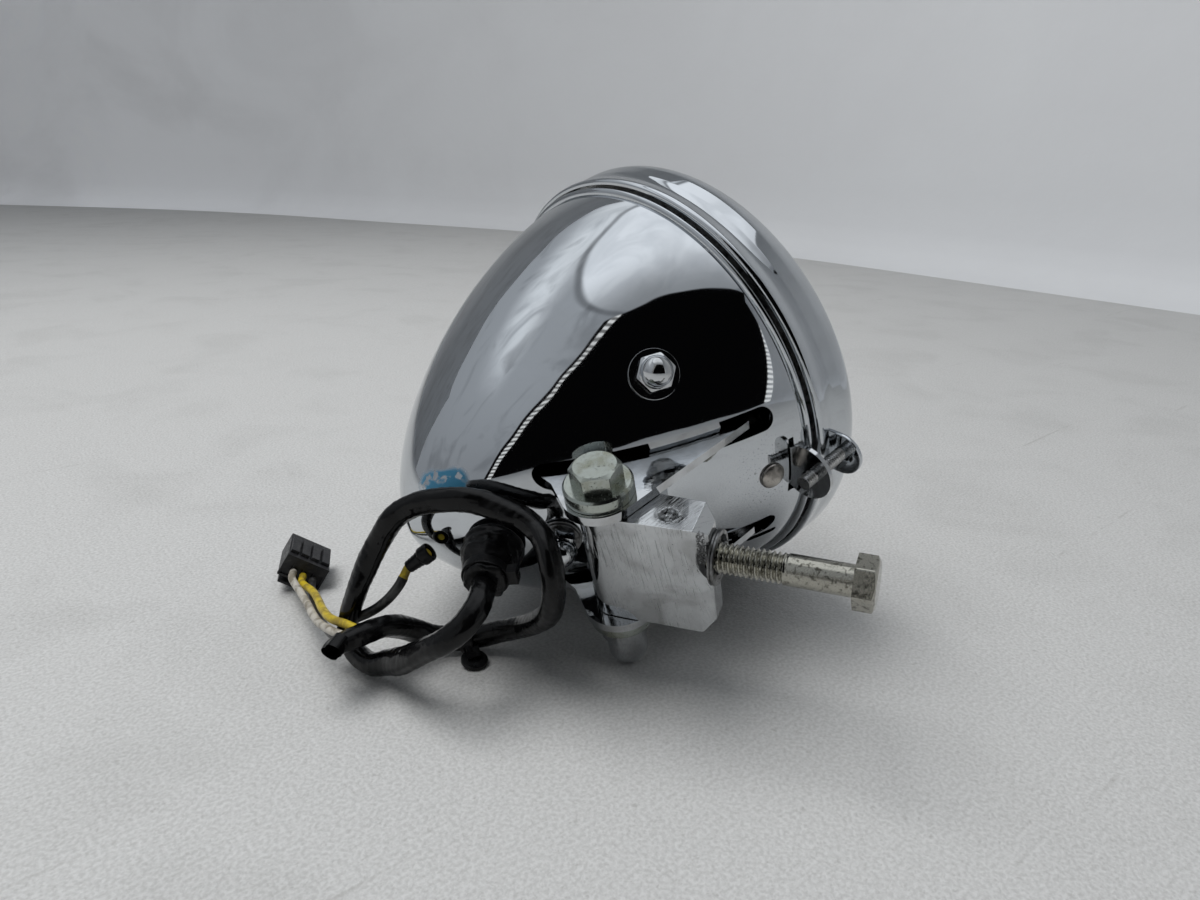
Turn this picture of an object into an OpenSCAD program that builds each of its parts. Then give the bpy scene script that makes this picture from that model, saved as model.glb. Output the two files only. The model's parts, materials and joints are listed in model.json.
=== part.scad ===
// Round motorcycle headlight with a bottom bracket, off its machine and lying on its left side.
// Every piece is drawn in the lamp's own frame: +X is the way the lens faces, +Y is the lamp's left,
// +Z is up when it is mounted, and the origin is on the lens axis at the mouth of the bucket.
// lay_down() then tips the lamp until its trim ring, its belly and its pivot nut touch the table.
// Only the harness is drawn straight in the table's frame.

/* [Bucket] */
// Outside radius of the bucket at its mouth
bucket_r = 79.7; // [77:0.1:82]
// Depth of the bucket from its mouth to its nose
bucket_len = 114.8; // [112:0.1:120]
// Sheet thickness of the bucket
bucket_wall = 1.2; // [0.8:0.1:1.5]
// Exponent of the bucket's curve along its length
bulge_len = 1.44; // [1.38:0.01:1.52]
// Exponent of the bucket's curve across its radius
bulge_rad = 1.62; // [1.56:0.01:1.7]
// Height of the rolled bead at the bucket's mouth
bead_h = 1.8; // [1.2:0.1:2.2]
// Width of the rolled bead
bead_w = 2.6; // [2:0.1:3.2]
// Length of the neck that the light unit sits on
neck_len = 9.2; // [8.4:0.1:9.8]
// Length of the drain slot
drain_len = 13; // [9:0.5:15]
// Width of the drain slot
drain_w = 3; // [2:0.1:4]
// Distance of the drain slot's middle behind the mouth
drain_back = 16.6; // [15:0.1:20]
// Angle of the drain slot from the bottom of the bucket
drain_angle = 23.5; // [21:0.5:27]

/* [Trim ring] */
// Distance of the ring's outside from the outside of the bucket's mouth
ring_over = 4.1; // [3.8:0.1:5]
// Distance from the bucket's mouth to the ring's largest radius
ring_mid = 14.9; // [14:0.1:16]
// Distance from the bucket's mouth to the front of the ring
ring_front = 26.5; // [26:0.1:28]
// Open groove between the bead and the ring
ring_gap = 3.2; // [2.6:0.1:3.6]
// Radius of the opening in the front of the ring
lip_r = 70.8; // [70.6:0.1:71.6]
// Sheet thickness of the ring
ring_wall = 1.2; // [1:0.1:1.4]

/* [Ring clamp] */
// Distance of the clamp screw from the outside of the ring
clamp_out = 3.7; // [3.2:0.1:5]
// Radius of the clamp screw
clamp_screw_r = 2.4; // [2:0.1:2.6]
// Half width of the ring's ear
ring_ear_r = 8; // [7:0.1:8.5]
// Half width of the bracket's ear
clamp_ear_r = 10; // [9:0.1:10.5]
// Thickness of the two clamp ears
clamp_t = 1.6; // [1.2:0.1:1.8]
// Distance of the clamp rivet behind the bucket's mouth
rivet_back = 17; // [16:0.1:19]

/* [Light unit] */
// Radius of the glass lens at its rim
lens_r = 74; // [73.4:0.1:74.2]
// Thickness of the lens at its rim
lens_rim = 5.2; // [4.8:0.1:5.4]
// Height of the lens dome over its rim
lens_rise = 16; // [12:0.5:20]
// Thickness of the glass
glass_t = 4.2; // [3:0.1:4.6]
// Focal length of the reflector's bowl
focal_len = 26; // [25:0.5:28]
// Sheet thickness of the reflector
bowl_t = 1.5; // [1:0.1:1.8]
// Radius of the bulb's flange
bulb_flange_r = 21.5; // [20:0.1:22]
// Radius of the bulb's glass
bulb_glass_r = 8.7; // [7:0.1:9.5]

/* [Bracket] */
// Distance of the pivot behind the bucket's mouth
pivot_back = 76.9; // [76.5:0.1:78.5]
// Distance of the pivot below the lens axis
pivot_drop = 59.9; // [59.6:0.1:62]
// Thickness of the bracket's two ears
ear_t = 3; // [2.5:0.1:3.4]
// Radius of the ears round the pivot
ear_r = 12; // [11.4:0.1:12.6]
// Distance behind the mouth at which the ears' lower edge meets the bucket
ear_front = 22; // [20:0.5:24]
// Width of the slots that the ears pass through
ear_slot_w = 8.4; // [7.4:0.1:9.4]
// Thickness of the bracket's inner strap
strap_t = 2.4; // [2:0.1:2.8]
// Half angle of the strap round the bucket
strap_angle = 50; // [48:1:54]

/* [Mounting block] */
// Length of the block along the pivot
block_h = 42; // [40:0.5:44]
// Offset of the block's middle to the lamp's left
block_side = 1; // [0:0.5:2]
// Radius of the block's round end
block_r = 7.8; // [7.4:0.1:8.4]
// Length of the block from the pivot to the foot of its bevels
block_len = 31; // [30:0.5:33]
// Thickness of the block at the foot of its bevels
block_end_t = 13.6; // [13:0.1:15]
// Height of the bevels round the block's end
bevel_h = 3.6; // [3:0.1:4]
// Width of the bevels round the block's end
bevel_w = 3.4; // [2.6:0.1:3.8]
// Tilt of the block forward of straight down
block_tilt = 24.6; // [22:0.1:27]

/* [Bolts] */
// Radius of the pivot bolt and the long bolt
bolt_r = 4.76; // [4.5:0.01:4.8]
// Width across the flats of their heads
bolt_af = 14.3; // [13.6:0.1:15]
// Height of their heads
bolt_head_h = 6.1; // [5.4:0.1:6.6]
// Distance from the pivot to the outer face of the long bolt's head
bolt_reach = 81.2; // [78:0.1:86]
// Offset of the long bolt from the middle of the block
bolt_side = -6; // [-8:0.5:-4]
// Radius of the lock washer
lock_r = 8.6; // [8:0.1:9]
// Thickness of the lock washer
lock_t = 1.9; // [1.4:0.1:2.4]
// Radius of the two pivot washers
washer_r = 10.9; // [10:0.1:11.4]
// Thickness of the two pivot washers
washer_t = 4.6; // [4:0.1:5]
// Length of the pivot's acorn nut
pivot_nut_len = 21; // [20:0.1:22]
// Distance of the side nuts behind the bucket's mouth
side_nut_back = 41.9; // [41:0.1:43]
// Angle of the side nuts from the bottom of the bucket
side_nut_angle = 40.6; // [40:0.1:42]
// Distance of the rear nut behind the bucket's mouth
rear_nut_back = 84; // [83.6:0.1:85]
// Radius of the studs that the side nuts and the rear nut sit on
stud_r = 3.1; // [2.9:0.1:3.2]
// Width across the flats of those nuts
acorn_af = 11.1; // [10.4:0.1:11.6]

/* [Harness] */
// Diameter of the harness sleeve
sleeve_d = 8; // [7.6:0.1:8.2]
// Diameter of the branch lead
branch_d = 3.4; // [3:0.1:3.6]
// Diameter of one wire
wire_d = 3; // [2.6:0.1:3.1]
// Distance of the harness boot behind the bucket's mouth
boot_back = 99.7; // [99.4:0.1:100.4]
// Radius of the harness boot's neck in the bucket
boot_r = 8; // [7.6:0.1:8.2]
// Distance that the harness boot stands out of the bucket
boot_out = 17.5; // [17.2:0.1:19]

/* [Hidden] */

smooth = 128;
fine = 48;
run_fit = 0.06;
seat_gap = 0.3;
touch = 0.05;
profile_steps = 26;
ring_r = bucket_r + ring_over;
neck_r = bucket_r - 0.5;
clamp_r = ring_r + clamp_out;
exp_x = 2 / bulge_len;
exp_r = 2 / bulge_rad;

// Outside radius of the bucket at x, which runs from 0 at the mouth to -bucket_len at the nose
function skin_r(x) = bucket_r * pow(1 - pow(-x / bucket_len, bulge_len), 1 / bulge_rad);
// Angle of the skin to the lens axis at x
function skin_slope(x) = atan(skin_r(x + 0.5) - skin_r(x - 0.5));
// Point of the bucket's curve, as [radius, x], shrunk by an inset
function skin_point(a, inset) = [
    (bucket_r - inset) * pow(cos(a), exp_r),
    -(bucket_len - inset) * pow(sin(a), exp_x)
];
// The curve from the nose to where the bead starts
function skin_curve(inset) = [
    for (i = [profile_steps : -1 : 0])
        let (p = skin_point(90 * i / profile_steps, inset))
        if (p[1] < -bead_w) p
];
// A line that follows the skin from x0 to x1 at an inset, as [radius, x] points
function strip_line(x0, x1, inset, steps = 8) = [
    for (i = [0 : steps])
        let (x = x0 + (x1 - x0) * i / steps)
        [skin_r(x) - inset, x]
];
function backwards(list) = [for (i = [len(list) - 1 : -1 : 0]) list[i]];

bead_c = bead_w / 2;
bead_curve = [
    for (a = [-75 : 25 : 75])
        [bucket_r - 0.4 + (bead_h + 0.4) * cos(a), -bead_c + bead_c * sin(a)]
];
bucket_outer = concat(skin_curve(0), bead_curve, [[neck_r, 0], [neck_r, neck_len]]);
bucket_inner = concat(
    [[neck_r - bucket_wall, neck_len], [neck_r - bucket_wall, -bead_w]],
    backwards(skin_curve(bucket_wall))
);

// Trim ring outline, as [radius, x], with its front as a quarter of an ellipse
front_c = lip_r + 2.4;
function ring_arc(inset) = [
    for (a = [0 : 7.5 : 90])
        [front_c + (ring_r - front_c - inset) * cos(a),
         ring_mid + (ring_front - ring_mid - inset) * sin(a)]
];
lip_depth = 4.4;
ring_outer = concat(
    [[ring_r - 1.7, ring_gap], [ring_r - 0.5, ring_gap + 0.3], [ring_r - 0.1, ring_gap + 1.3],
     [ring_r - 0.5, ring_gap + 2.3], [ring_r - 0.7, ring_gap + 3.4], [ring_r - 0.25, ring_gap + 7.5]],
    ring_arc(0),
    [[lip_r + 0.7, ring_front - 0.5], [lip_r, ring_front - 1.6], [lip_r, ring_front - lip_depth]]
);
ring_inner = concat(
    [[lip_r + ring_wall, ring_front - lip_depth], [lip_r + ring_wall, ring_front - 2.1]],
    backwards(ring_arc(ring_wall)),
    [[ring_r - 0.25 - ring_wall, ring_gap + 7.5], [ring_r - 0.7 - ring_wall, ring_gap + 3.4],
     [ring_r - 0.6 - ring_wall, ring_gap + 2], [ring_r - 0.8 - ring_wall, ring_gap + 0.6]]
);

// Light unit, stacked forward from the bucket's neck
carrier_t = 1.4;
carrier_r = ring_r - ring_wall - 0.9;
carrier_front = neck_len + carrier_t;
clamp_plate_t = 1.2;
plate_front = carrier_front + bowl_t + clamp_plate_t;
glass_back = carrier_front + bowl_t;
glass_front = glass_back + lens_rim;
cap_back = glass_front + seat_gap;
cap_t = 1;
cap_in_r = lens_r + seat_gap;
screw_ring_r = (cap_in_r + cap_t + carrier_r) / 2;
dome_r = lip_r - 0.6;
dome_sphere_r = (dome_r * dome_r + lens_rise * lens_rise) / (2 * lens_rise);
dome_front = glass_front + lens_rise + 2;
bowl_rim_r = 69;
bowl_zero = carrier_front - bowl_rim_r * bowl_rim_r / (4 * focal_len);
bowl_neck_r = 19;
bowl_neck_x = bowl_zero + bowl_neck_r * bowl_neck_r / (4 * focal_len);
bulb_seat = bowl_neck_x - 7;
blade_end = bulb_seat - 20;
socket_front = bulb_seat - 14;
socket_len = 20;

// Bracket and block
pivot = [-pivot_back, 0, -pivot_drop];
ear_mid = block_h / 2 + seat_gap + ear_t / 2;
ear_out_low = block_side - ear_mid - ear_t / 2;
ear_out_high = block_side + ear_mid + ear_t / 2;
slot_back = pivot_back + 7.5;
slot_front = 13;
strap_in = bucket_wall + seat_gap;
strap_x = [-52, -30];
tab_x = [-91, -50];
tab_angle = 9;
ear_root = 8;
function ear_top(x) = -sqrt(pow(skin_r(x) - ear_root, 2) - pow(ear_mid, 2));
block_end = block_len + bevel_h;
bolt_tip = bolt_r + block_r;
bolt_head_in = bolt_reach - bolt_head_h;
nut_dome_r = bolt_af / 2 - 0.2;
nut_end = ear_out_high + washer_t + pivot_nut_len;

// Resting pose: the tilt brings the ring and the belly level, the roll brings the nut down to them
function reach(outline, t) = max([for (p = outline) cos(t) * p[0] - sin(t) * p[1]]);
function level_tilt(low, high, n) =
    n == 0 ? low :
    let (mid = (low + high) / 2)
    reach(ring_outer, mid) > reach(bucket_outer, mid) ? level_tilt(mid, high, n - 1)
                                                     : level_tilt(low, mid, n - 1);
rest_tilt = level_tilt(5, 30, 24);
rest_height = max(reach(ring_outer, rest_tilt), reach(bucket_outer, rest_tilt));
dome_y = nut_end - nut_dome_r;
dome_level = (rest_height - nut_dome_r - sin(rest_tilt) * pivot_back) / cos(rest_tilt);
rest_roll = atan2(pivot_drop, dome_y) - acos(dome_level / norm([dome_y, pivot_drop]));

// Middle of the resting lamp's box, so that the origin lies under it
front_reach = max([for (p = ring_outer) cos(rest_tilt) * p[1] + sin(rest_tilt) * p[0]]);
nose_reach = max([for (p = bucket_outer) -cos(rest_tilt) * p[1] + sin(rest_tilt) * p[0]]);
head_corner = bolt_af / 2 / cos(30);
head_c = [pivot[0] + bolt_reach * sin(block_tilt), block_side + bolt_side, pivot[2] - bolt_reach * cos(block_tilt)];
side_reach = -cos(rest_roll) * head_c[2] - sin(rest_roll) * head_c[1] + head_corner * 0.36;
box_mid = [(front_reach - nose_reach) / 2, (ring_r - side_reach) / 2];

module lay_down() {
    translate([-box_mid[0], -box_mid[1], rest_height])
        rotate([0, -rest_tilt, 0])
            rotate([-90 + rest_roll, 0, 0])
                children();
}

// Turns an outline of [radius, x] points round the lens axis, all round or only near the bottom
module turned(points) {
    rotate([0, 90, 0]) rotate_extrude($fn = smooth) polygon(points);
}
module turned_part(points, half_angle) {
    rotate([0, 90, 0]) rotate([0, 0, -half_angle]) rotate_extrude(angle = 2 * half_angle, $fn = smooth) polygon(points);
}
// A band that lies inside the skin, spaced by an inset
module skin_band(x0, x1, inset, t, half_angle) {
    turned_part(concat(strip_line(x0, x1, inset), strip_line(x1, x0, inset + t)), half_angle);
}
// Stands its children on the skin, +Z outward, at an angle from the bottom toward the lamp's right
module on_skin(back, angle = 0) {
    rotate([-angle, 0, 0]) translate([-back, 0, -skin_r(-back)]) rotate([0, skin_slope(-back), 0]) rotate([180, 0, 0]) children();
}
// Stands its children at the pivot, +Z along the block
module at_block() {
    translate(pivot) rotate([0, 180 - block_tilt, 0]) translate([0, block_side, 0]) children();
}
// Lays its children on the pivot axis, +Z toward the lamp's left
module on_pivot() {
    translate(pivot) rotate([-90, 0, 0]) children();
}
module washer(r, hole, t) {
    difference() {
        cylinder(r = r, h = t, $fn = fine);
        translate([0, 0, -t]) cylinder(r = hole, h = 3 * t, $fn = fine);
    }
}
module hex(af, h) {
    cylinder(r = af / 2 / cos(30), h = h, $fn = 6);
}
// Bolt head with its outer corners turned off
module bolt_head(af, h) {
    intersection() {
        hex(af, h);
        union() {
            cylinder(r = af, h = h * 0.8, $fn = fine);
            translate([0, 0, h * 0.8]) cylinder(r1 = af * 0.6, r2 = af * 0.47, h = h * 0.2, $fn = fine);
        }
    }
}
// Closed nut with a dome, open at z = 0
module acorn_nut(af, hex_h, h, hole, hole_h) {
    dome = af / 2 - 0.2;
    difference() {
        union() {
            intersection() {
                hex(af, hex_h);
                cylinder(r1 = af * 0.64, r2 = af * 0.52, h = hex_h, $fn = fine);
            }
            cylinder(r = dome, h = h - dome, $fn = fine);
            translate([0, 0, h - dome]) sphere(r = dome, $fn = fine);
        }
        translate([0, 0, -1]) cylinder(r = hole, h = hole_h + 1, $fn = fine);
    }
}
// Slot with round ends, long in x
module slot(length, w, h) {
    for (s = [-1, 1])
        translate([s * (length - w) / 2, 0, 0]) cylinder(r = w / 2, h = h, $fn = fine);
    translate([-(length - w) / 2, -w / 2, 0]) cube([length - w, w, h]);
}

module bucket() color("gainsboro") {
    difference() {
        turned(concat(bucket_outer, bucket_inner));
        for (s = [-1, 1])
            translate([-(slot_front + slot_back) / 2, block_side + s * ear_mid, -bucket_r - 5])
                slot(slot_back - slot_front, ear_slot_w, bucket_r - 10);
        translate([-clamp_t - ring_gap - 5.2, -clamp_ear_r - 1, -bucket_r - 5])
            cube([clamp_t + 1.2, 2 * clamp_ear_r + 2, 15]);
        on_skin(drain_back, -drain_angle) translate([0, 0, -6]) slot(drain_len, drain_w, 12);
        on_skin(rivet_back) translate([0, 0, -6]) cylinder(r = rivet_shank_r + run_fit, h = 12, $fn = fine);
        for (s = [-1, 1])
            on_skin(side_nut_back, s * side_nut_angle) translate([0, 0, -6]) cylinder(r = stud_r + 0.3, h = 12, $fn = fine);
        on_skin(rear_nut_back) translate([0, 0, -6]) cylinder(r = stud_r + 0.3, h = 12, $fn = fine);
        on_skin(boot_back) translate([0, 0, -12]) cylinder(r = boot_r + 0.2, h = 24, $fn = fine);
    }
}

ring_ear_x = ring_gap + 2.8;
module trim_ring() color("whitesmoke") {
    turned(concat(ring_outer, ring_inner));
    difference() {
        translate([ring_ear_x, 0, 0]) rotate([0, 90, 0]) union() {
            translate([clamp_r, 0, 0]) cylinder(r = ring_ear_r, h = clamp_t, $fn = fine);
            translate([ring_r - 1.8, -ring_ear_r, 0]) cube([clamp_out + 1.8, 2 * ring_ear_r, clamp_t]);
        }
        turned([[ring_r - 1.8, 0], [ring_r - 1.8, ring_front], [0, ring_front], [0, 0]]);
        translate([0, 0, -clamp_r]) rotate([0, 90, 0]) cylinder(r = clamp_screw_r + run_fit, h = ring_front, $fn = fine);
    }
}

clamp_ear_x = -ring_gap - 4.6 - clamp_t;
clamp_foot = [-26, clamp_ear_x + clamp_t];
rivet_shank_r = 2.2;
module clamp_bracket() color("silver") {
    difference() {
        union() {
            skin_band(clamp_foot[0], clamp_foot[1], strap_in, clamp_t, 7.4);
            translate([clamp_ear_x, 0, 0]) rotate([0, 90, 0]) intersection() {
                translate([clamp_r - 3, 0, 0]) cylinder(r = clamp_ear_r, h = clamp_t, $fn = fine);
                translate([skin_r(clamp_ear_x) - strap_in - clamp_t, -clamp_ear_r, 0]) cube([3 * clamp_ear_r, 2 * clamp_ear_r, clamp_t]);
            }
        }
        translate([-30, 0, -clamp_r]) rotate([0, 90, 0]) cylinder(r = clamp_screw_r + run_fit, h = 30, $fn = fine);
        on_skin(rivet_back) translate([0, 0, -8]) cylinder(r = rivet_shank_r + run_fit, h = 8, $fn = fine);
    }
}

module clamp_rivet() color("darkgray") on_skin(rivet_back) {
    head_r = 4;
    translate([0, 0, touch]) intersection() {
        cylinder(r = head_r, h = 2.2, $fn = fine);
        translate([0, 0, -2.7]) sphere(r = 4.9, $fn = fine);
    }
    tail = strap_in + clamp_t + 0.2;
    translate([0, 0, -tail]) cylinder(r = rivet_shank_r, h = tail + 1, $fn = fine);
    translate([0, 0, -tail - 1.4]) cylinder(r = 3.4, h = 1.4, $fn = fine);
}

module clamp_screw() color("silver") translate([ring_ear_x + clamp_t, 0, -clamp_r]) rotate([0, 90, 0]) {
    shank = ring_ear_x - clamp_ear_x + clamp_t + 7;
    translate([0, 0, -shank]) cylinder(r = clamp_screw_r, h = shank + 1, $fn = fine);
    difference() {
        cylinder(r1 = 4.3, r2 = 3.9, h = 3.1, $fn = fine);
        translate([-5, -0.6, 2]) cube([10, 1.2, 2]);
    }
}

nut_base = 1.5;
module side_nuts() color("gainsboro") {
    for (s = [-1, 1])
        on_skin(side_nut_back, s * side_nut_angle) translate([0, 0, nut_base + touch])
            acorn_nut(acorn_af, 4.6, 10.4, stud_r + run_fit, 7.6);
}
module side_washers() color("lightgray") {
    for (s = [-1, 1])
        on_skin(side_nut_back, s * side_nut_angle) translate([0, 0, touch]) washer(8.2, stud_r + 0.2, nut_base);
}
// Stud with a round head behind the strap
module stud() {
    head = strap_in + strap_t + 0.2;
    translate([0, 0, -head]) cylinder(r = stud_r, h = head + nut_base + 7, $fn = fine);
    translate([0, 0, -head - 1.8]) cylinder(r = 5.2, h = 1.8, $fn = fine);
}
module side_studs() color("darkgray") {
    for (s = [-1, 1]) on_skin(side_nut_back, s * side_nut_angle) stud();
}
module rear_stud() color("darkgray") on_skin(rear_nut_back) stud();
module rear_nut() color("gainsboro") on_skin(rear_nut_back) translate([0, 0, nut_base + touch])
    acorn_nut(acorn_af, 4.6, 10.4, stud_r + run_fit, 7.6);
module rear_washers() color("dimgray") on_skin(rear_nut_back) {
    translate([0, 0, touch]) washer(7.6, stud_r + 0.2, nut_base / 2);
    translate([0, 0, nut_base / 2 + touch]) washer(6.9, stud_r + 0.2, nut_base / 2);
}

// Side view of an ear: a round end, a straight lower edge and a root inside the bucket
module ear_outline() {
    translate([pivot[0], pivot[2]]) circle(r = ear_r, $fn = smooth);
    polygon(concat(
        [[-ear_front, -skin_r(-ear_front) + 9], [-ear_front, pivot[2] - ear_r], [pivot[0], pivot[2] - ear_r],
         [pivot[0] - ear_r * cos(20), pivot[2] + ear_r * sin(20)], [-slot_back + 1, pivot[2] + 15.5]],
        [for (x = [-slot_back + 2 : 6 : -ear_front - 4]) [x, ear_top(x)]]
    ));
}
module mount_bracket() color("silver") {
    difference() {
        union() {
            skin_band(strap_x[0], strap_x[1], strap_in, strap_t, strap_angle);
            skin_band(tab_x[0], tab_x[1], strap_in, strap_t, tab_angle);
            for (s = [-1, 1])
                translate([0, block_side + s * ear_mid + ear_t / 2, 0]) rotate([90, 0, 0]) linear_extrude(ear_t) ear_outline();
        }
        on_pivot() translate([0, 0, -block_h]) cylinder(r = bolt_r + run_fit, h = 2 * block_h, $fn = fine);
        for (s = [-1, 1])
            on_skin(side_nut_back, s * side_nut_angle) translate([0, 0, -9]) cylinder(r = stud_r + run_fit, h = 9, $fn = fine);
        on_skin(rear_nut_back) translate([0, 0, -9]) cylinder(r = stud_r + run_fit, h = 9, $fn = fine);
    }
}

module pivot_bolt() color("silver") on_pivot() {
    head_z = ear_out_low - washer_t;
    translate([0, 0, head_z]) rotate([180, 0, 12]) bolt_head(bolt_af, bolt_head_h);
    translate([0, 0, head_z - 1]) cylinder(r = bolt_r, h = ear_out_high + washer_t - head_z + 12, $fn = fine);
}
module pivot_washers() color("darkkhaki") on_pivot() {
    translate([0, 0, ear_out_low - washer_t]) washer(washer_r, bolt_r + 0.3, washer_t);
    translate([0, 0, ear_out_high]) washer(washer_r, bolt_r + 0.3, washer_t);
}
module pivot_nut() color("gainsboro") on_pivot() translate([0, 0, ear_out_high + washer_t])
    acorn_nut(bolt_af, 8.5, pivot_nut_len, bolt_r + run_fit, 13);

module mount_block() color("gainsboro") at_block() {
    half = block_end_t / 2;
    taper = asin(block_r / norm([half, block_len])) - atan2(half, block_len);
    difference() {
        intersection() {
            rotate([90, 0, 0]) linear_extrude(block_h, center = true)
                polygon(concat(
                    [[-half + bevel_w, block_end], [half - bevel_w, block_end], [half, block_len]],
                    [for (i = [0 : 36]) let (a = taper - (180 + 2 * taper) * i / 36) block_r * [cos(a), sin(a)]],
                    [[-half, block_len]]
                ));
            rotate([90, 0, 90]) linear_extrude(4 * block_r, center = true)
                polygon([[-block_h / 2, -block_r - 1], [-block_h / 2, block_len], [-block_h / 2 + bevel_w, block_end],
                         [block_h / 2 - bevel_w, block_end], [block_h / 2, block_len], [block_h / 2, -block_r - 1]]);
        }
        rotate([90, 0, 0]) cylinder(r = bolt_r + run_fit, h = 2 * block_h, center = true, $fn = fine);
        translate([0, bolt_side, bolt_tip - 0.5]) cylinder(r = bolt_r + run_fit, h = block_end, $fn = fine);
        translate([1.3, -block_h / 2 - 0.1, 22]) rotate([-90, 0, 0]) cylinder(r1 = 3.2, r2 = 1.4, h = 1.5, $fn = fine);
    }
}
module lock_washer() color("dimgray") at_block() translate([0, bolt_side, block_end]) difference() {
    washer(lock_r, bolt_r + 0.3, lock_t);
    translate([2, (lock_r + bolt_r) / 2, -1]) cylinder(r = 1.1, h = lock_t + 2, $fn = fine);
}
module mount_bolt() color("silver") at_block() translate([0, bolt_side, 0]) {
    translate([0, 0, bolt_tip]) cylinder(r = bolt_r, h = bolt_head_in - bolt_tip + 1, $fn = fine);
    translate([0, 0, bolt_head_in]) bolt_head(bolt_af, bolt_head_h);
}

// Domed glass: a flat rim and a shell of two spheres
module lens() color("lightcyan", 0.5) {
    rotate([0, 90, 0]) difference() {
        union() {
            translate([0, 0, glass_back]) cylinder(r = lens_r, h = lens_rim, $fn = smooth);
            intersection() {
                translate([0, 0, glass_front]) cylinder(r = dome_r, h = lens_rise + 3, $fn = smooth);
                translate([0, 0, dome_front - dome_sphere_r]) sphere(r = dome_sphere_r, $fn = smooth);
            }
        }
        intersection() {
            translate([0, 0, glass_back - 1]) cylinder(r = dome_r - glass_t, h = lens_rise + 20, $fn = smooth);
            translate([0, 0, dome_front - dome_sphere_r - glass_t]) sphere(r = dome_sphere_r, $fn = smooth);
        }
    }
}
module gasket() color("black") turned([
    [dome_r + 0.8, cap_back + cap_t], [cap_in_r + cap_t, cap_back + cap_t],
    [cap_in_r + cap_t, ring_front - lip_depth], [dome_r + 0.8, ring_front - lip_depth]
]);
module retaining_ring() color("silver") difference() {
    turned([
        [carrier_r - 0.4, carrier_front + bowl_t], [carrier_r - 0.4, plate_front], [cap_in_r + cap_t, plate_front],
        [cap_in_r + cap_t, cap_back + cap_t], [cap_in_r - 1.8, cap_back + cap_t], [cap_in_r - 1.8, cap_back],
        [cap_in_r, cap_back], [cap_in_r, carrier_front + bowl_t]
    ]);
    ring_screw_places() cylinder(r = 1.5 + run_fit, h = 10, center = true, $fn = fine);
}
module ring_screw_places() {
    for (a = [60, 180, 300])
        rotate([a, 0, 0]) translate([plate_front, 0, screw_ring_r]) rotate([0, 90, 0]) children();
}
module ring_screws() color("silver") ring_screw_places() {
    cylinder(r1 = 2.6, r2 = 2, h = 1.6, $fn = fine);
    shank = plate_front - neck_len - 0.1;
    translate([0, 0, -shank]) cylinder(r = 1.5, h = shank + 0.5, $fn = fine);
}
module carrier_ring() color("darkgray") difference() {
    turned([
        [bowl_rim_r + 1.8, neck_len], [carrier_r, neck_len], [carrier_r, carrier_front + bowl_t],
        [cap_in_r, carrier_front + bowl_t], [cap_in_r, carrier_front], [bowl_rim_r + 1.8, carrier_front]
    ]);
    ring_screw_places() cylinder(r = 1.5 + run_fit, h = 20, center = true, $fn = fine);
}

// Parabolic bowl with a rim in front and a collar behind
function bowl(r, back) = bowl_zero + r * r / (4 * focal_len) - back;
bowl_radii = [for (i = [0 : 14]) bowl_neck_r + (bowl_rim_r - bowl_neck_r) * i / 14];
module reflector() color("lavender") turned(concat(
    [[bowl_neck_r, bulb_seat]],
    [for (r = bowl_radii) [r, bowl(r, 0)]],
    [[lens_r, carrier_front], [lens_r, carrier_front + bowl_t], [bowl_rim_r - 0.6, carrier_front + bowl_t]],
    [for (r = backwards(bowl_radii)) if (r < bowl_rim_r - 0.5) [r - bowl_t, bowl(r, 0) + 0.2]],
    [[bowl_neck_r - bowl_t, bulb_seat]]
));

module bulb() color("lightsteelblue") rotate([0, 90, 0]) {
    translate([0, 0, bulb_seat - 1.2]) cylinder(r = bulb_flange_r, h = 1.2, $fn = fine);
    translate([0, 0, bulb_seat - 7]) cylinder(r = 15, h = 6, $fn = fine);
    translate([0, 0, bulb_seat]) cylinder(r = 14, h = 8, $fn = fine);
    translate([0, 0, bulb_seat]) cylinder(r = bulb_glass_r, h = 38, $fn = fine);
    translate([0, 0, bulb_seat + 38]) sphere(r = bulb_glass_r, $fn = fine);
    for (a = [0, 90, 180])
        rotate([0, 0, a]) translate([7, -4, blade_end]) cube([0.8, 8, bulb_seat - blade_end - 6]);
}
module bulb_clip() color("silver") rotate([0, 90, 0]) translate([0, 0, bulb_seat - 1.2 - 0.9]) {
    rotate([0, 0, 25]) rotate_extrude(angle = 310, $fn = fine) translate([18.4, 0]) circle(r = 0.9, $fn = 24);
}
// Rubber cover that grips the collar and the back of the bulb
module bulb_boot() color("black") turned([
    [bowl_neck_r + seat_gap, bulb_seat + 6], [bowl_neck_r + 3, bulb_seat + 6], [bowl_neck_r + 6, bulb_seat + 2],
    [bowl_neck_r + 6, bulb_seat - 5], [19, bulb_seat - 12], [18, bulb_seat - 16], [16, bulb_seat - 16],
    [16.6, bulb_seat - 11], [bulb_flange_r + 1, bulb_seat - 4.5], [bulb_flange_r + 1, bulb_seat + 1.5],
    [bowl_neck_r + seat_gap, bulb_seat + 3]
]);
module bulb_socket() color("dimgray") difference() {
    translate([socket_front - socket_len, -9.6, -9.6]) cube([socket_len, 19.2, 19.2]);
    rotate([0, 90, 0]) for (a = [0, 90, 180])
        rotate([0, 0, a]) translate([6.8, -4.2, blade_end - 0.3]) cube([1.2, 8.4, 40]);
}

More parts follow.
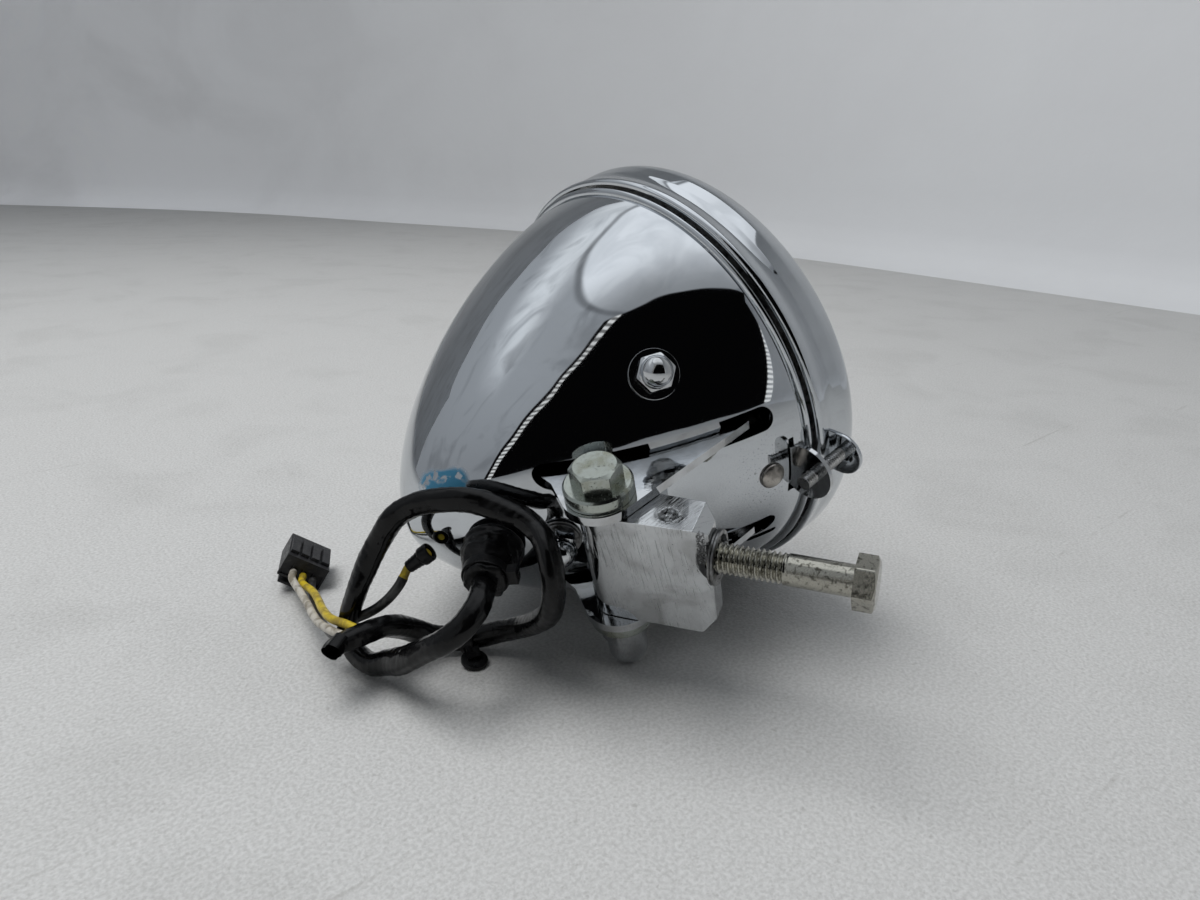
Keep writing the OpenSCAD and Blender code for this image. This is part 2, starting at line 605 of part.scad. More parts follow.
// Rubber boot: a groove that grips the bucket, a skirt outside and a neck for the sleeve
module harness_boot() color("black") on_skin(boot_back) rotate_extrude($fn = fine) polygon([
    [0, -bucket_wall - 5], [boot_r - 2, -bucket_wall - 5], [boot_r + 1.4, -bucket_wall - 3], [boot_r + 1.4, -bucket_wall - 1.4],
    [boot_r, -bucket_wall - 1.2], [boot_r, 0.6], [boot_r + 2, 0.9], [boot_r + 2.2, 2.6],
    [boot_r + 0.4, 4.4], [boot_r, 7], [boot_r + 0.5, 8], [boot_r - 0.3, 9.2], [boot_r - 0.6, 11.5],
    [boot_r - 1.4, 12], [boot_r - 1.4, 15.8], [boot_r - 0.8, 16.2], [boot_r - 1, boot_out - 0.8],
    [boot_r - 2, boot_out], [0, boot_out]
]);
module boot_tie() color("black") on_skin(boot_back) translate([0, 0, 12.2]) {
    washer(boot_r - 0.4, boot_r - 1.4 + touch, 3.5);
    translate([boot_r - 1.2, -2.8, 0]) cube([3.6, 5.6, 3.5]);
}

// Tube along a route, with rings square to it
function unit(v) = v / norm(v);
function heading(route, i) = unit(route[min(i + 1, len(route) - 1)] - route[max(i - 1, 0)]);
function sideways(route, i) =
    i == 0 ? unit(cross(heading(route, 0), [0.31, 0.22, 0.93])) :
    let (s = sideways(route, i - 1), h = heading(route, i)) unit(s - h * (s * h));
function ring_at(route, i, r, sides) =
    let (s = sideways(route, i), u = cross(heading(route, i), s))
    [for (j = [0 : sides - 1]) route[i] + r * (cos(360 * j / sides) * s + sin(360 * j / sides) * u)];
module tube(route, d, sides = 8) {
    n = len(route);
    polyhedron(
        points = [for (i = [0 : n - 1]) each ring_at(route, i, d / 2, sides)],
        faces = concat(
            [[for (j = [0 : sides - 1]) j]],
            [[for (j = [sides - 1 : -1 : 0]) (n - 1) * sides + j]],
            [for (i = [0 : n - 2]) for (j = [0 : sides - 1]) each [
                [i * sides + j, (i + 1) * sides + j, (i + 1) * sides + (j + 1) % sides],
                [i * sides + j, (i + 1) * sides + (j + 1) % sides, i * sides + (j + 1) % sides]
            ]]
        )
    );
}
// Point inside the bucket on the harness boot's axis
function boot_in(depth) = [
    -boot_back + depth * sin(skin_slope(-boot_back)), 0,
    -skin_r(-boot_back) + depth * cos(skin_slope(-boot_back))
];
socket_back = socket_front - socket_len;
inner_route = [
    [socket_back - touch, 0, 0], [socket_back - 3.5, 0, 0], [socket_back - 8, 0, -3],
    boot_in(16), boot_in(9), boot_in(bucket_wall + 5 + touch)
];
module inner_lead() color("black") tube(inner_route, 8, 10);

// The harness, in the table's frame. The sleeve leaves the boot, drops to the table, rises past the
// nose, runs over the shell, comes down in front of the rear nut and ends beyond its own first loop.
sleeve_route = [
    [-75.1, -13.2, 39.4], [-81.2, -19.1, 36.8], [-87.2, -20.8, 32.6], [-92, -17, 27], [-95.2, -8.8, 20.5],
    [-97.2, 0, 13.8], [-98.2, 9, 8.6], [-101, 16.5, 5.2], [-102.7, 24.1, 6.6], [-103.1, 28.6, 11.5],
    [-102.1, 27.8, 20], [-99.5, 26.5, 28], [-95.8, 25.5, 36.5], [-92, 23.3, 45], [-89.4, 19, 53],
    [-86.1, 16.1, 57], [-82.5, 10.5, 60.5], [-78.4, 3.7, 62.7], [-74, -2.2, 63.6], [-69.5, -7.3, 62.8],
    [-65.6, -12.6, 61.2], [-62.8, -16.6, 59.7], [-61.2, -21.2, 57.3], [-61.6, -26.2, 55.6], [-62.9, -31, 51.3],
    [-63.2, -33.2, 45.4], [-62.6, -32.6, 38.6], [-60.6, -27.6, 29.8], [-57.6, -18, 21.6], [-56.8, -8, 14.6],
    [-60.6, 1.6, 9.2], [-68, 9.2, 6], [-77.5, 15.5, 7], [-87, 17.3, 13.2], [-97.5, 14.2, 19], [-112, 13.6, 18.6]
];
module harness_sleeve() color("black") tube(sleeve_route, sleeve_d, 12);

branch_route = [
    [-101.2, 26.9, 17.5], [-97.8, 23.2, 20.2], [-94.7, 21.1, 22.5], [-91.6, 18.9, 26], [-88.5, 18.1, 29.6],
    [-86.6, 18.6, 31.6]
];
bullet_back = [-84.3, 18.5, 35];
bullet_mouth = [-78.5, 13.9, 41];
module branch_wire() color("black") tube(branch_route, branch_d, 8);
module branch_end() color("gold")
    tube([branch_route[5] + [0.05, 0, 0.1], bullet_back, bullet_back + unit(bullet_mouth - bullet_back)], wire_d, 8);

// Stands its children at p, +Z toward q
module along(p, q) {
    v = q - p;
    translate(p) rotate([0, acos(v[2] / norm(v)), atan2(v[1], v[0])]) children();
}
// Terminal boot: a tapered grip and a wider open mouth
module bullet_boot() color("black") along(bullet_back, bullet_mouth) {
    grip = 5.6;
    cylinder(r1 = 2.1, r2 = 2.7, h = grip, $fn = fine);
    difference() {
        translate([0, 0, grip]) cylinder(r = 3.3, h = norm(bullet_mouth - bullet_back) - grip, $fn = fine);
        translate([0, 0, grip + 1.2]) cylinder(r = 2.2, h = 9, $fn = fine);
    }
}

// Push-mount tie: a band round the sleeve, an arm and a round button on the table
push_at = sleeve_route[31];
push_way = unit(sleeve_route[32] - sleeve_route[30]);
push_foot = [-70.3, 1.8, 1.8];
band_w = 4.6;
module push_tie() color("black") {
    along(push_at - push_way * band_w / 2, push_at) washer(sleeve_d / 2 + 1.1, sleeve_d / 2 + touch, band_w);
    arm_in = sleeve_d / 2 + 0.5;
    arm_way = unit(push_foot - push_at);
    along(push_at + arm_way * arm_in, push_foot) translate([-2.2, -2.2, 0])
        cube([4.4, 4.4, norm(push_foot - push_at) - arm_in]);
    translate(push_foot) rotate([12, 0, 0]) cylinder(r = 4.6, h = 1.6, center = true, $fn = fine);
}

// Four-way connector, tipped on its right lower edge, with ribs on top and a lock lever underneath
plug_at = [-91.5, 84, 0];
plug_heading = -25.5;
plug_tilt = 32;
plug_size = [17, 20, 9.5];
plug_pitch = 4;
module at_plug() {
    translate(plug_at) rotate([0, 0, plug_heading]) rotate([0, plug_tilt, 0]) children();
}
// Point on a cavity's axis, a distance before the face that the wires enter
function plug_in(cavity, before) =
    let (x = -plug_pitch * cavity, c = cos(plug_heading), s = sin(plug_heading), z = 3.4)
    plug_at + [x * c * cos(plug_tilt), x * s * cos(plug_tilt), -x * sin(plug_tilt)]
    + z * [c * sin(plug_tilt), s * sin(plug_tilt), cos(plug_tilt)] - before * [-s, c, 0];
module connector() color("black") at_plug() {
    rib = [3.3, 12.5, 2];
    lever = [7.5, 15, 1.3];
    translate([-plug_size[0], 0, 0]) cube(plug_size);
    for (i = [0 : 3])
        translate([-plug_size[0] + 0.5 + 4.2 * i, 2.6, plug_size[2] - 0.5]) cube(rib);
    translate([-15.5, 1, -3.6]) cube(lever);
    translate([-15.5, 14, -3.6]) cube([lever[0], 2.4, 4]);
}

white_route = [
    [-108.3, 15.6, 18.9], [-110.2, 20.8, 18.5], [-110.6, 27, 17.4], [-109.9, 36.4, 15], [-107.8, 47, 12.5],
    [-105.4, 57.4, 10.6], [-103.4, 69, 9.4], plug_in(3, 6), plug_in(3, touch)
];
yellow_route = [
    [-104.9, 15.8, 20.2], [-106.6, 20.8, 20.4], [-108, 26, 19.8], [-108, 32, 18.6], [-106, 42, 16.2],
    [-103, 53.5, 13.6], [-100.6, 64.7, 11.2], plug_in(2, 6), plug_in(2, touch)
];
black_route = [
    [-106.2, 15.8, 16.4], [-107.9, 20.8, 15.4], [-109, 27, 14.2], [-107.5, 36.5, 12], [-104.4, 51, 9],
    [-100.6, 65, 7], plug_in(1, 6), plug_in(1, touch)
];
module white_wire() color("antiquewhite") tube(white_route, wire_d, 8);
module yellow_wire() color("gold") tube(yellow_route, wire_d, 8);
module black_wire() color("black") tube(black_route, wire_d, 8);

lay_down() bucket();
lay_down() trim_ring();
lay_down() clamp_bracket();
lay_down() clamp_rivet();
lay_down() clamp_screw();
lay_down() side_nuts();
lay_down() side_washers();
lay_down() side_studs();
lay_down() rear_nut();
lay_down() rear_washers();
lay_down() rear_stud();
lay_down() mount_bracket();
lay_down() pivot_bolt();
lay_down() pivot_washers();
lay_down() pivot_nut();
lay_down() mount_block();
lay_down() lock_washer();
lay_down() mount_bolt();
lay_down() lens();
lay_down() gasket();
lay_down() retaining_ring();
lay_down() ring_screws();
lay_down() carrier_ring();
lay_down() reflector();
lay_down() bulb();
lay_down() bulb_clip();
lay_down() bulb_boot();
lay_down() bulb_socket();
lay_down() inner_lead();
lay_down() harness_boot();
lay_down() boot_tie();
harness_sleeve();
push_tie();
branch_wire();
branch_end();
bullet_boot();
white_wire();
yellow_wire();
black_wire();
connector();
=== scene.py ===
# %% [markdown]
# # Round motorcycle headlight
# The lamp lies on its left side on a pale table, its nose toward the camera's left.
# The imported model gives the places. This file adds the looks, piece by piece.
# Shapes are drawn in millimetres and set down in metres.

# %% Load the fixed frame
import json
import math
import bpy
import bmesh
from mathutils import Matrix, Vector, noise


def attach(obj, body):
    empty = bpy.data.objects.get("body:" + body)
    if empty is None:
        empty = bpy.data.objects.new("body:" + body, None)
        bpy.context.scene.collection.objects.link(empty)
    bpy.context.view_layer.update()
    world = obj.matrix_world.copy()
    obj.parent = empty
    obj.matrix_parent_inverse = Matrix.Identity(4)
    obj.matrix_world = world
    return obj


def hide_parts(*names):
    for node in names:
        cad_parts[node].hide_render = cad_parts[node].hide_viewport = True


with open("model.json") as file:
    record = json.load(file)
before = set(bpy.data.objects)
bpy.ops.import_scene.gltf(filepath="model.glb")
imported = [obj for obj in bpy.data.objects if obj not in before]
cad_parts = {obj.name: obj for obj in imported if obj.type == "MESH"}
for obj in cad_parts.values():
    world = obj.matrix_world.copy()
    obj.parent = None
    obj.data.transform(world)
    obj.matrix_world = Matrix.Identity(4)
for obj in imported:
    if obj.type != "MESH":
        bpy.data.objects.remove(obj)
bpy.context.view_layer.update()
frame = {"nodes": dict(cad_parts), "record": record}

# %% [markdown]
# ## The lamp's own frame
# The pieces are easiest to draw where the lens faces +X and the mount hangs below. The record
# gives the pivot and the long bolt, and these two lines fix how the lamp lies on the table.

# %% From the lamp's millimetres to the table's metres
PIVOT = Vector((-76.9, 0, -59.9))
BLOCK_TILT = 24.6  # degrees forward of straight down
pivot_joint = frame["record"]["behaviour"]["joints"][0]
bolt_mount = [m for m in frame["record"]["mounts"] if m["name"] == "bolt_shank"][0]
left = Vector(pivot_joint["axis"]).normalized()
bolt_way = Vector(bolt_mount["axis"]).normalized()
square = bolt_way.cross(left)
tilt = math.radians(BLOCK_TILT)
ahead = bolt_way * math.sin(tilt) + square * math.cos(tilt)
up = square * math.sin(tilt) - bolt_way * math.cos(tilt)
mouth = Vector(pivot_joint["pos_m"]) - (ahead * PIVOT.x + up * PIVOT.z) / 1000
LAMP = Matrix((ahead, left, up)).transposed().to_4x4()
LAMP.translation = mouth
LAMP = LAMP @ Matrix.Scale(0.001, 4)
ROW = Matrix.Scale(0.001, 4)
print("mouth of the bucket at", [round(c, 5) for c in mouth])

# %% [markdown]
# Each piece is drawn upright and then turned and moved to its place. Three places are used often:
# the lamp's axis toward the lens, the middle of the mounting block, and the pivot.

# %% Turning and moving
def turn(degrees, axis):
    return Matrix.Rotation(math.radians(degrees), 4, axis)


def shift(x=0.0, y=0.0, z=0.0):
    return Matrix.Translation((x, y, z))


TO_LENS = turn(90, "Y")
AT_BLOCK = Matrix.Translation(PIVOT) @ turn(180 - BLOCK_TILT, "Y") @ shift(0, 1, 0)
ON_PIVOT = Matrix.Translation(PIVOT) @ turn(-90, "X")

# %% [markdown]
# ## Camera
# The photograph was taken from close by with a wide lens, a hand above the table.

# %% Camera
camera_data = bpy.data.cameras.new("camera")
camera_data.lens, camera_data.sensor_width = 24.96, 36
camera_data.sensor_fit = "HORIZONTAL"
camera_data.clip_start, camera_data.clip_end = 0.01, 40
camera = bpy.data.objects.new("camera", camera_data)
sight = Vector((0.61672, 0.71388, -0.33172)).normalized()
right = sight.cross(Vector((0.19776, 0.26737, 0.94308))).normalized()
camera.matrix_world = Matrix((right, right.cross(sight), -sight)).transposed().to_4x4()
camera.matrix_world.translation = (-0.199402, -0.210883, 0.165626)
bpy.context.scene.collection.objects.link(camera)
bpy.context.scene.camera = camera
print("camera at", [round(c, 3) for c in camera.matrix_world.translation])

# %% [markdown]
# ## Writing shaders as sums
# A finish is a few noises added and multiplied. This wrapper lets Python's own operators add the
# Math nodes, so that a recipe reads as one line. The same class also writes Geometry Nodes.

# %% A value in a node tree
class Value:
    def __init__(self, graph, socket):
        self.graph, self.socket = graph, socket

    def __add__(self, other): return self.graph.math("ADD", self, other)
    def __radd__(self, other): return self.graph.math("ADD", other, self)
    def __sub__(self, other): return self.graph.math("SUBTRACT", self, other)
    def __rsub__(self, other): return self.graph.math("SUBTRACT", other, self)
    def __mul__(self, other): return self.graph.math("MULTIPLY", self, other)
    def __truediv__(self, other): return self.graph.math("DIVIDE", self, other)
    def __pow__(self, other): return self.graph.math("POWER", self, other)
    def __neg__(self): return self.graph.math("MULTIPLY", self, -1.0)


class Graph:
    def __init__(self, tree):
        self.tree = tree

    def node(self, kind, settings=None, inputs=None, out=0):
        """One node of any kind. Its settings come first, then its inputs by name or number."""
        made = self.tree.nodes.new(kind)
        for key, value in (settings or {}).items():
            setattr(made, key, value)
        for key, value in (inputs or {}).items():
            if isinstance(value, Value):
                self.tree.links.new(value.socket, made.inputs[key])
            else:
                made.inputs[key].default_value = value
        return Value(self, made.outputs[out])

    def math(self, operation, first, second=0.0):
        return self.node("ShaderNodeMath", {"operation": operation}, {0: first, 1: second})

    def split(self, vector):
        made = self.node("ShaderNodeSeparateXYZ", None, {0: vector}).socket.node
        return [Value(self, made.outputs[i]) for i in range(3)]

    def join(self, x, y, z):
        return self.node("ShaderNodeCombineXYZ", None, {0: x, 1: y, 2: z})

    def between(self, value, low, high, to_low=0.0, to_high=1.0):
        """A soft step: to_low up to low, to_high from high on."""
        return self.node("ShaderNodeMapRange", {"interpolation_type": "SMOOTHSTEP"}, {
            0: value, 1: low, 2: high, 3: to_low, 4: to_high})

    def mix(self, share, first, second):
        full = [v if isinstance(v, Value) else (*v, 1.0) for v in (first, second)]
        return self.node("ShaderNodeMix", {"data_type": "RGBA"}, {0: share, 6: full[0], 7: full[1]}, 2)

# %% [markdown]
# A finish is one Principled shader. Its patterns hang on the piece's own coordinates, and its
# marks are placed by their distance from a point in millimetres.

# %% Words that every finish uses
PLAIN_SOCKETS = {"ior": "IOR", "transmission_weight": "Transmission Weight",
                 "specular_ior_level": "Specular IOR Level"}


class Finish(Graph):
    def __init__(self, name):
        self.material = bpy.data.materials.new(name)
        self.material.use_nodes = True
        super().__init__(self.material.node_tree)
        self.shader = self.tree.nodes["Principled BSDF"]
        self.place = self.node("ShaderNodeTexCoord", None, None, "Object")

    def noise(self, scale, detail=3.0, where=None, distortion=0.0):
        return self.node("ShaderNodeTexNoise", None, {
            "Vector": where or self.place, "Scale": scale, "Detail": detail, "Distortion": distortion})

    def stretched(self, turns, scales):
        return self.node("ShaderNodeMapping", None, {
            "Vector": self.place, "Rotation": [math.radians(t) for t in turns], "Scale": scales})

    def near(self, point, core, edge):
        """1 within core of the point, 0 beyond edge."""
        away = self.node("ShaderNodeVectorMath", {"operation": "DISTANCE"}, {
            0: self.place, 1: [c / 1000 for c in point]}, "Value")
        return self.between(away, core / 1000, edge / 1000, 1.0, 0.0)

    def scratches(self, turns, fine, long, cut):
        """Thin lines in patches: a noise that is fine one way and long the others."""
        field = self.noise(1.0, 2.0, self.stretched(turns, (long, fine, long)))
        patch = self.between(self.noise(60.0, 2.0), 0.40, 0.58)
        return self.between(field, cut, cut + 0.05) * patch

    def bump(self, height, depth_mm):
        return self.node("ShaderNodeBump", None, {
            "Height": height, "Distance": depth_mm / 1000, "Strength": 1.0})

    def done(self, colour, roughness, metallic=0.0, normal=None, **plain):
        for key, value in {"Base Color": colour, "Roughness": roughness, "Metallic": metallic}.items():
            if isinstance(value, Value):
                self.tree.links.new(value.socket, self.shader.inputs[key])
            else:
                self.shader.inputs[key].default_value = value
        if normal is not None:
            self.tree.links.new(normal.socket, self.shader.inputs["Normal"])
        for key, value in plain.items():
            self.shader.inputs[PLAIN_SOCKETS[key]].default_value = value
        print("finish", self.material.name, "has", len(self.tree.nodes), "nodes")
        return self.material


def total(values):
    """The sum of several values, as Math nodes."""
    return sum(values, start=0.0)


def spot_mm(point, at):
    """A point of the lamp or the block, in the table's millimetres."""
    return (LAMP @ at @ Vector(point)) * 1000

# %% [markdown]
# ## Finishes of the metal
# Bright chrome is nearly a mirror. What makes it look real is the little that is wrong with it:
# a breath of haze, hairline scratches, and blue polish left near the nose.

# %% Chrome of the bucket and the trim ring
RESIDUE = (((-75.5, 17.0, 62.5), 8.5), ((-73.0, 12.5, 64.5), 6.0), ((-70.5, 8.5, 66.0), 7.0))
f = Finish("bright_chrome")
haze = f.between(f.noise(38.0, 4.0), 0.42, 0.75)
hair = f.scratches((20, 10, 35), 700.0, 9.0, 0.7)
polish = f.between(f.noise(1.0, 4.0, f.stretched((20, 0, -30), (90.0, 320.0, 320.0))), 0.40, 0.52)
polish = polish * f.between(total(f.near(spot, 1.0, reach) for spot, reach in RESIDUE), 0.15, 0.75)
by_rivet = f.near(spot_mm((-17, 0, -76.5), Matrix()), 5.0, 26.0)
dirt = f.between(f.noise(1500.0, 2.0), 0.62, 0.70) * by_rivet
clean = f.mix(haze, (0.60, 0.625, 0.65), (0.56, 0.58, 0.60))
chrome = f.done(
    f.mix(dirt * 0.7, f.mix(polish, clean, (0.05, 0.23, 0.38)), (0.10, 0.09, 0.08)),
    f.between(hair, 0.0, 1.0, 0.03, 0.14) + haze * 0.02 + polish * 0.4,
    1.0 - polish * 0.85,
    f.bump(f.noise(26.0, 2.0) - dirt * 0.01 + hair * -0.01 + polish * 0.02, 0.5))

# %% [markdown]
# The small chromed parts are duller and more uneven than the shell.

# %% Chrome of small parts
f = Finish("small_chrome")
haze = f.between(f.noise(120.0, 4.0), 0.4, 0.7)
small_chrome = f.done(
    f.mix(haze, (0.60, 0.615, 0.63), (0.46, 0.465, 0.465)), haze * 0.08 + 0.05, 1.0,
    f.bump(f.noise(260.0, 3.0), 0.05))

# %% [markdown]
# The cast block is the most worn piece. Its broad face is covered with fine rubs and smears and
# has a small dent. A rough mark is on top of it, and a rough notch beside the lock washer.

# %% Cast chrome of the mounting block
RUBS = (((10, 35, 12), 3400.0, 70.0, 0.635), ((80, 5, 62), 2900.0, 90.0, 0.645),
        ((35, 70, 115), 3600.0, 110.0, 0.645), ((60, 20, 80), 3000.0, 60.0, 0.64))
f = Finish("block_chrome")
rubs = total(f.scratches(*rub) for rub in RUBS)
rough_mark = f.near(spot_mm((1.3, -21, 22), AT_BLOCK), 1.6, 4.6) * f.between(f.noise(900.0, 3.0), 0.40, 0.55)
notch = total(f.near(spot_mm((5.2, 0.5 * y, 32.7), AT_BLOCK), 0.6, 2.2) for y in range(-38, -16, 3))
notch = f.between(notch, 0.5, 1.4) * f.between(f.noise(1500.0, 5.0), 0.42, 0.58)
pits = f.between(f.noise(1500.0, 2.0), 0.66, 0.76)
dent = f.near((-63.9, -48.4, 15.2), 0.3, 1.9)
smear = f.between(f.noise(70.0, 5.0, None, 0.8), 0.45, 0.72)
# Painted shade: the block is painted darker toward the table, fully below 12 mm and fading out by 34 mm. The
# random smears are mixed with this painted shade.
low = f.between(f.node("ShaderNodeSeparateXYZ", None, {0: f.place}, 2), 0.012, 0.034, 1.0, 0.0)
smeared_and_shaded = f.mix(smear * 0.8 + low * 0.3, (0.58, 0.595, 0.605), (0.34, 0.345, 0.345))
rubbed = f.mix(pits * 0.30 + rubs * 0.24, smeared_and_shaded, (0.12, 0.115, 0.11))
relief = f.noise(48.0, 3.0) * 0.5 - rubs * 0.05 - pits * 0.06 - dent * 0.5 - notch * 0.4 - rough_mark * 0.2
block_chrome = f.done(
    f.mix(notch * 0.65 + rough_mark * 0.75, rubbed, (0.035, 0.034, 0.033)),
    f.between(rubs, 0.0, 1.0, 0.08, 0.30) + smear * 0.10 + pits * 0.2 + notch * 0.3,
    1.0, f.bump(relief, 0.5))

# %% [markdown]
# Plated steel is stained and pitted. One recipe serves the green zinc, the worn long bolt, the
# dark washers and the plain steel, each with its own two tones, grain and roughness.

# %% Zinc, steel and the worn long bolt
def plated(name, light, dark, grain, rough, blotch=(0.45, 0.72), bump_mm=0.03):
    f = Finish(name)
    stain = f.between(f.noise(grain, 6.0, None, 0.4), *blotch)
    pit = f.between(f.noise(grain * 7, 3.0), 0.6, 0.72)
    return f.done(
        f.mix(pit * 0.6, f.mix(stain, light, dark), tuple(c * 0.25 for c in dark)),
        stain * 0.10 + rough + pit * 0.12, 1.0 - pit * 0.2,
        f.bump(f.noise(grain * 3, 4.0) - pit * 0.8, bump_mm))


zinc = plated("green_zinc", (0.43, 0.46, 0.42), (0.33, 0.34, 0.27), 180.0, 0.20)
bolt_steel = plated("worn_bolt", (0.41, 0.40, 0.35), (0.11, 0.105, 0.085), 700.0, 0.12, (0.50, 0.70))
dark_steel = plated("dark_steel", (0.22, 0.22, 0.22), (0.07, 0.07, 0.065), 420.0, 0.30)
plain_steel = plated("plain_steel", (0.58, 0.58, 0.58), (0.40, 0.40, 0.39), 160.0, 0.24)
rivet_steel = plated("rivet_steel", (0.50, 0.47, 0.43), (0.30, 0.28, 0.26), 300.0, 0.30)

# %% [markdown]
# ## Finishes of rubber, vinyl and nylon
# All of them are nearly black, so they differ by their sheen, their dust and their small folds.

# %% Black materials
def black_stuff(name, tone, rough, grain, bump_mm, dust):
    f = Finish(name)
    grime = f.between(f.noise(grain * 0.3, 6.0, None, 0.7), 0.5, 0.78) * dust
    sheen = f.between(f.noise(grain * 0.7, 3.0), 0.3, 0.7, rough - 0.07, rough + 0.09)
    folds = f.noise(grain, 3.0) + f.noise(grain * 6, 2.0) * 0.05
    return f.done(f.mix(grime, (tone, tone, tone * 1.08), (0.09, 0.09, 0.088)), sheen + grime * 0.25,
                  0.0, f.bump(folds, bump_mm), specular_ior_level=0.25)


rubber = black_stuff("rubber", 0.003, 0.32, 420.0, 0.2, 0.03)
vinyl = black_stuff("vinyl_sleeve", 0.0024, 0.20, 170.0, 0.25, 0.0)
nylon = black_stuff("nylon", 0.004, 0.33, 700.0, 0.06, 0.08)
plug_nylon = black_stuff("plug_nylon", 0.026, 0.40, 900.0, 0.08, 0.5)

# %% [markdown]
# The leads are soiled in patches, the white one most.

# %% Wire covers
def cover(name, clean, soiled, rough):
    f = Finish(name)
    dirt = f.between(f.noise(190.0, 6.0, None, 1.2), 0.40, 0.66)
    return f.done(f.mix(dirt, clean, soiled), dirt * 0.15 + rough, 0.0, f.bump(f.noise(600.0, 3.0), 0.08))


white_cover = cover("white_cover", (0.50, 0.47, 0.41), (0.20, 0.175, 0.135), 0.42)
yellow_cover = cover("yellow_cover", (0.56, 0.42, 0.022), (0.28, 0.20, 0.03), 0.38)
black_cover = cover("black_cover", (0.012, 0.012, 0.013), (0.06, 0.06, 0.058), 0.34)

# %% [markdown]
# The lens and the bulb are clear glass, and the reflector is a bright metal coat.

# %% Glass, mirror and bulb
def clear(name, grain, bright, dim, haze_grain, haze_from, haze_rough, ior):
    f = Finish(name)
    return f.done(f.mix(f.noise(grain), bright, dim),
                  f.between(f.noise(haze_grain), haze_from, 0.8, 0.0, haze_rough),
                  transmission_weight=1.0, ior=ior)


clear_glass = clear("clear_glass", 30.0, (0.97, 0.99, 0.99), (0.94, 0.97, 0.98), 80.0, 0.4, 0.03, 1.5)
bulb_glass = clear("bulb_glass", 60.0, (0.97, 0.97, 0.98), (0.93, 0.93, 0.95), 90.0, 0.3, 0.04, 1.45)
f = Finish("mirror_coat")
mirror = f.done(f.mix(f.noise(40.0), (0.93, 0.93, 0.94), (0.88, 0.89, 0.90)),
                f.between(f.noise(70.0), 0.3, 0.8, 0.02, 0.07), 1.0)

# %% [markdown]
# ## From outlines to pieces
# Most of the lamp is turned: an outline spun round an axis. The rest is plates and blocks.
# Each helper adds its shape to a mesh in millimetres, and one last step places it in metres.

# %% Shapes that are added to a mesh
def bridge(bm, rings):
    """Quads between each ring of vertices and the next."""
    for low, high in zip(rings, rings[1:]):
        for j in range(len(low)):
            k = (j + 1) % len(low)
            bm.faces.new((low[j], low[k], high[k], high[j]))


def add_turned(bm, profile, sides=64, at=Matrix(), closed=False, radius_at=None):
    """Spins (radius, height) points round Z. radius_at(r, z, angle) may change each radius."""
    rings = []
    for r, z in profile:
        ring = []
        for j in range(sides):
            a = 2 * math.pi * j / sides
            q = radius_at(r, z, a) if radius_at else r
            ring.append(bm.verts.new(at @ Vector((q * math.cos(a), q * math.sin(a), z))))
        rings.append(ring)
    bridge(bm, rings + rings[:1] if closed else rings)


def add_plate(bm, outline, low, high, at=Matrix()):
    """A flat plate with this outline, from low to high."""
    bottom = [bm.verts.new(at @ Vector((x, y, low))) for x, y in outline]
    top = [bm.verts.new(at @ Vector((x, y, high))) for x, y in outline]
    bm.faces.new(bottom[::-1])
    bm.faces.new(top)
    bridge(bm, [bottom, top])


def add_box(bm, low, high, at=Matrix()):
    corners = [(low[0], low[1]), (high[0], low[1]), (high[0], high[1]), (low[0], high[1])]
    add_plate(bm, corners, low[2], high[2], at)


def soften(bm, width, degrees=30, segments=2):
    """Rounds every edge that is sharper than this angle."""
    bmesh.ops.remove_doubles(bm, verts=bm.verts, dist=1e-4)
    bmesh.ops.recalc_face_normals(bm, faces=bm.faces)
    sharp = [e for e in bm.edges if e.is_manifold and e.calc_face_angle(0) > math.radians(degrees)]
    bmesh.ops.bevel(bm, geom=sharp, offset=width, segments=segments, profile=0.6,
                    affect="EDGES", clamp_overlap=True)

# %% The last step of every piece
def evaluated_mesh(holder):
    """What an object's modifiers make of it, as a plain mesh."""
    bpy.context.view_layer.update()
    return bpy.data.meshes.new_from_object(holder.evaluated_get(bpy.context.evaluated_depsgraph_get()))


def to_mesh(bm, name):
    mesh = bpy.data.meshes.new(name)
    bm.to_mesh(mesh)
    bm.free()
    return mesh


def into_scene(name, data):
    holder = bpy.data.objects.new(name, data)
    bpy.context.scene.collection.objects.link(holder)
    return holder


def add_piece(name, bm, finish, body, nodes=(), at=LAMP, crease=32, closed=True):
    """Sets a mesh down in metres as a piece of a body. Its large flats keep their own direction,
    so that a rounded edge doesn't shade them as curved."""
    bm.transform(at)
    bmesh.ops.remove_doubles(bm, verts=bm.verts, dist=2e-7)
    if closed:
        bmesh.ops.recalc_face_normals(bm, faces=bm.faces)
    mesh = to_mesh(bm, name)
    mesh.shade_smooth()
    mesh.set_sharp_from_angle(angle=math.radians(crease))
    mesh.materials.clear()  # which also gives every face from Geometry Nodes the first finish
    mesh.materials.append(finish)
    piece = into_scene(name, mesh)
    flats = piece.modifiers.new("flats", "WEIGHTED_NORMAL")
    flats.keep_sharp, flats.weight = True, 90
    piece.data = evaluated_mesh(piece)
    piece.modifiers.remove(flats)
    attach(piece, body)
    if nodes:
        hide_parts(*nodes)
    print(name, "has", len(piece.data.polygons), "faces")
    return piece


def second_finish(mesh, finish, wanted):
    """Gives the faces whose centre is wanted another finish."""
    mesh.materials.append(finish)
    for face in mesh.polygons:
        if wanted(face.center):
            face.material_index = 1

# %% [markdown]
# The bucket's outline is very nearly a superellipse: one power along its length and another
# across its radius. Whatever sits on the shell takes its place and its direction from that rule.

# %% The skin of the bucket
BUCKET_R, BUCKET_LEN, WALL = 79.7, 114.8, 1.2
POWER_LEN, POWER_RAD = 1.44, 1.62
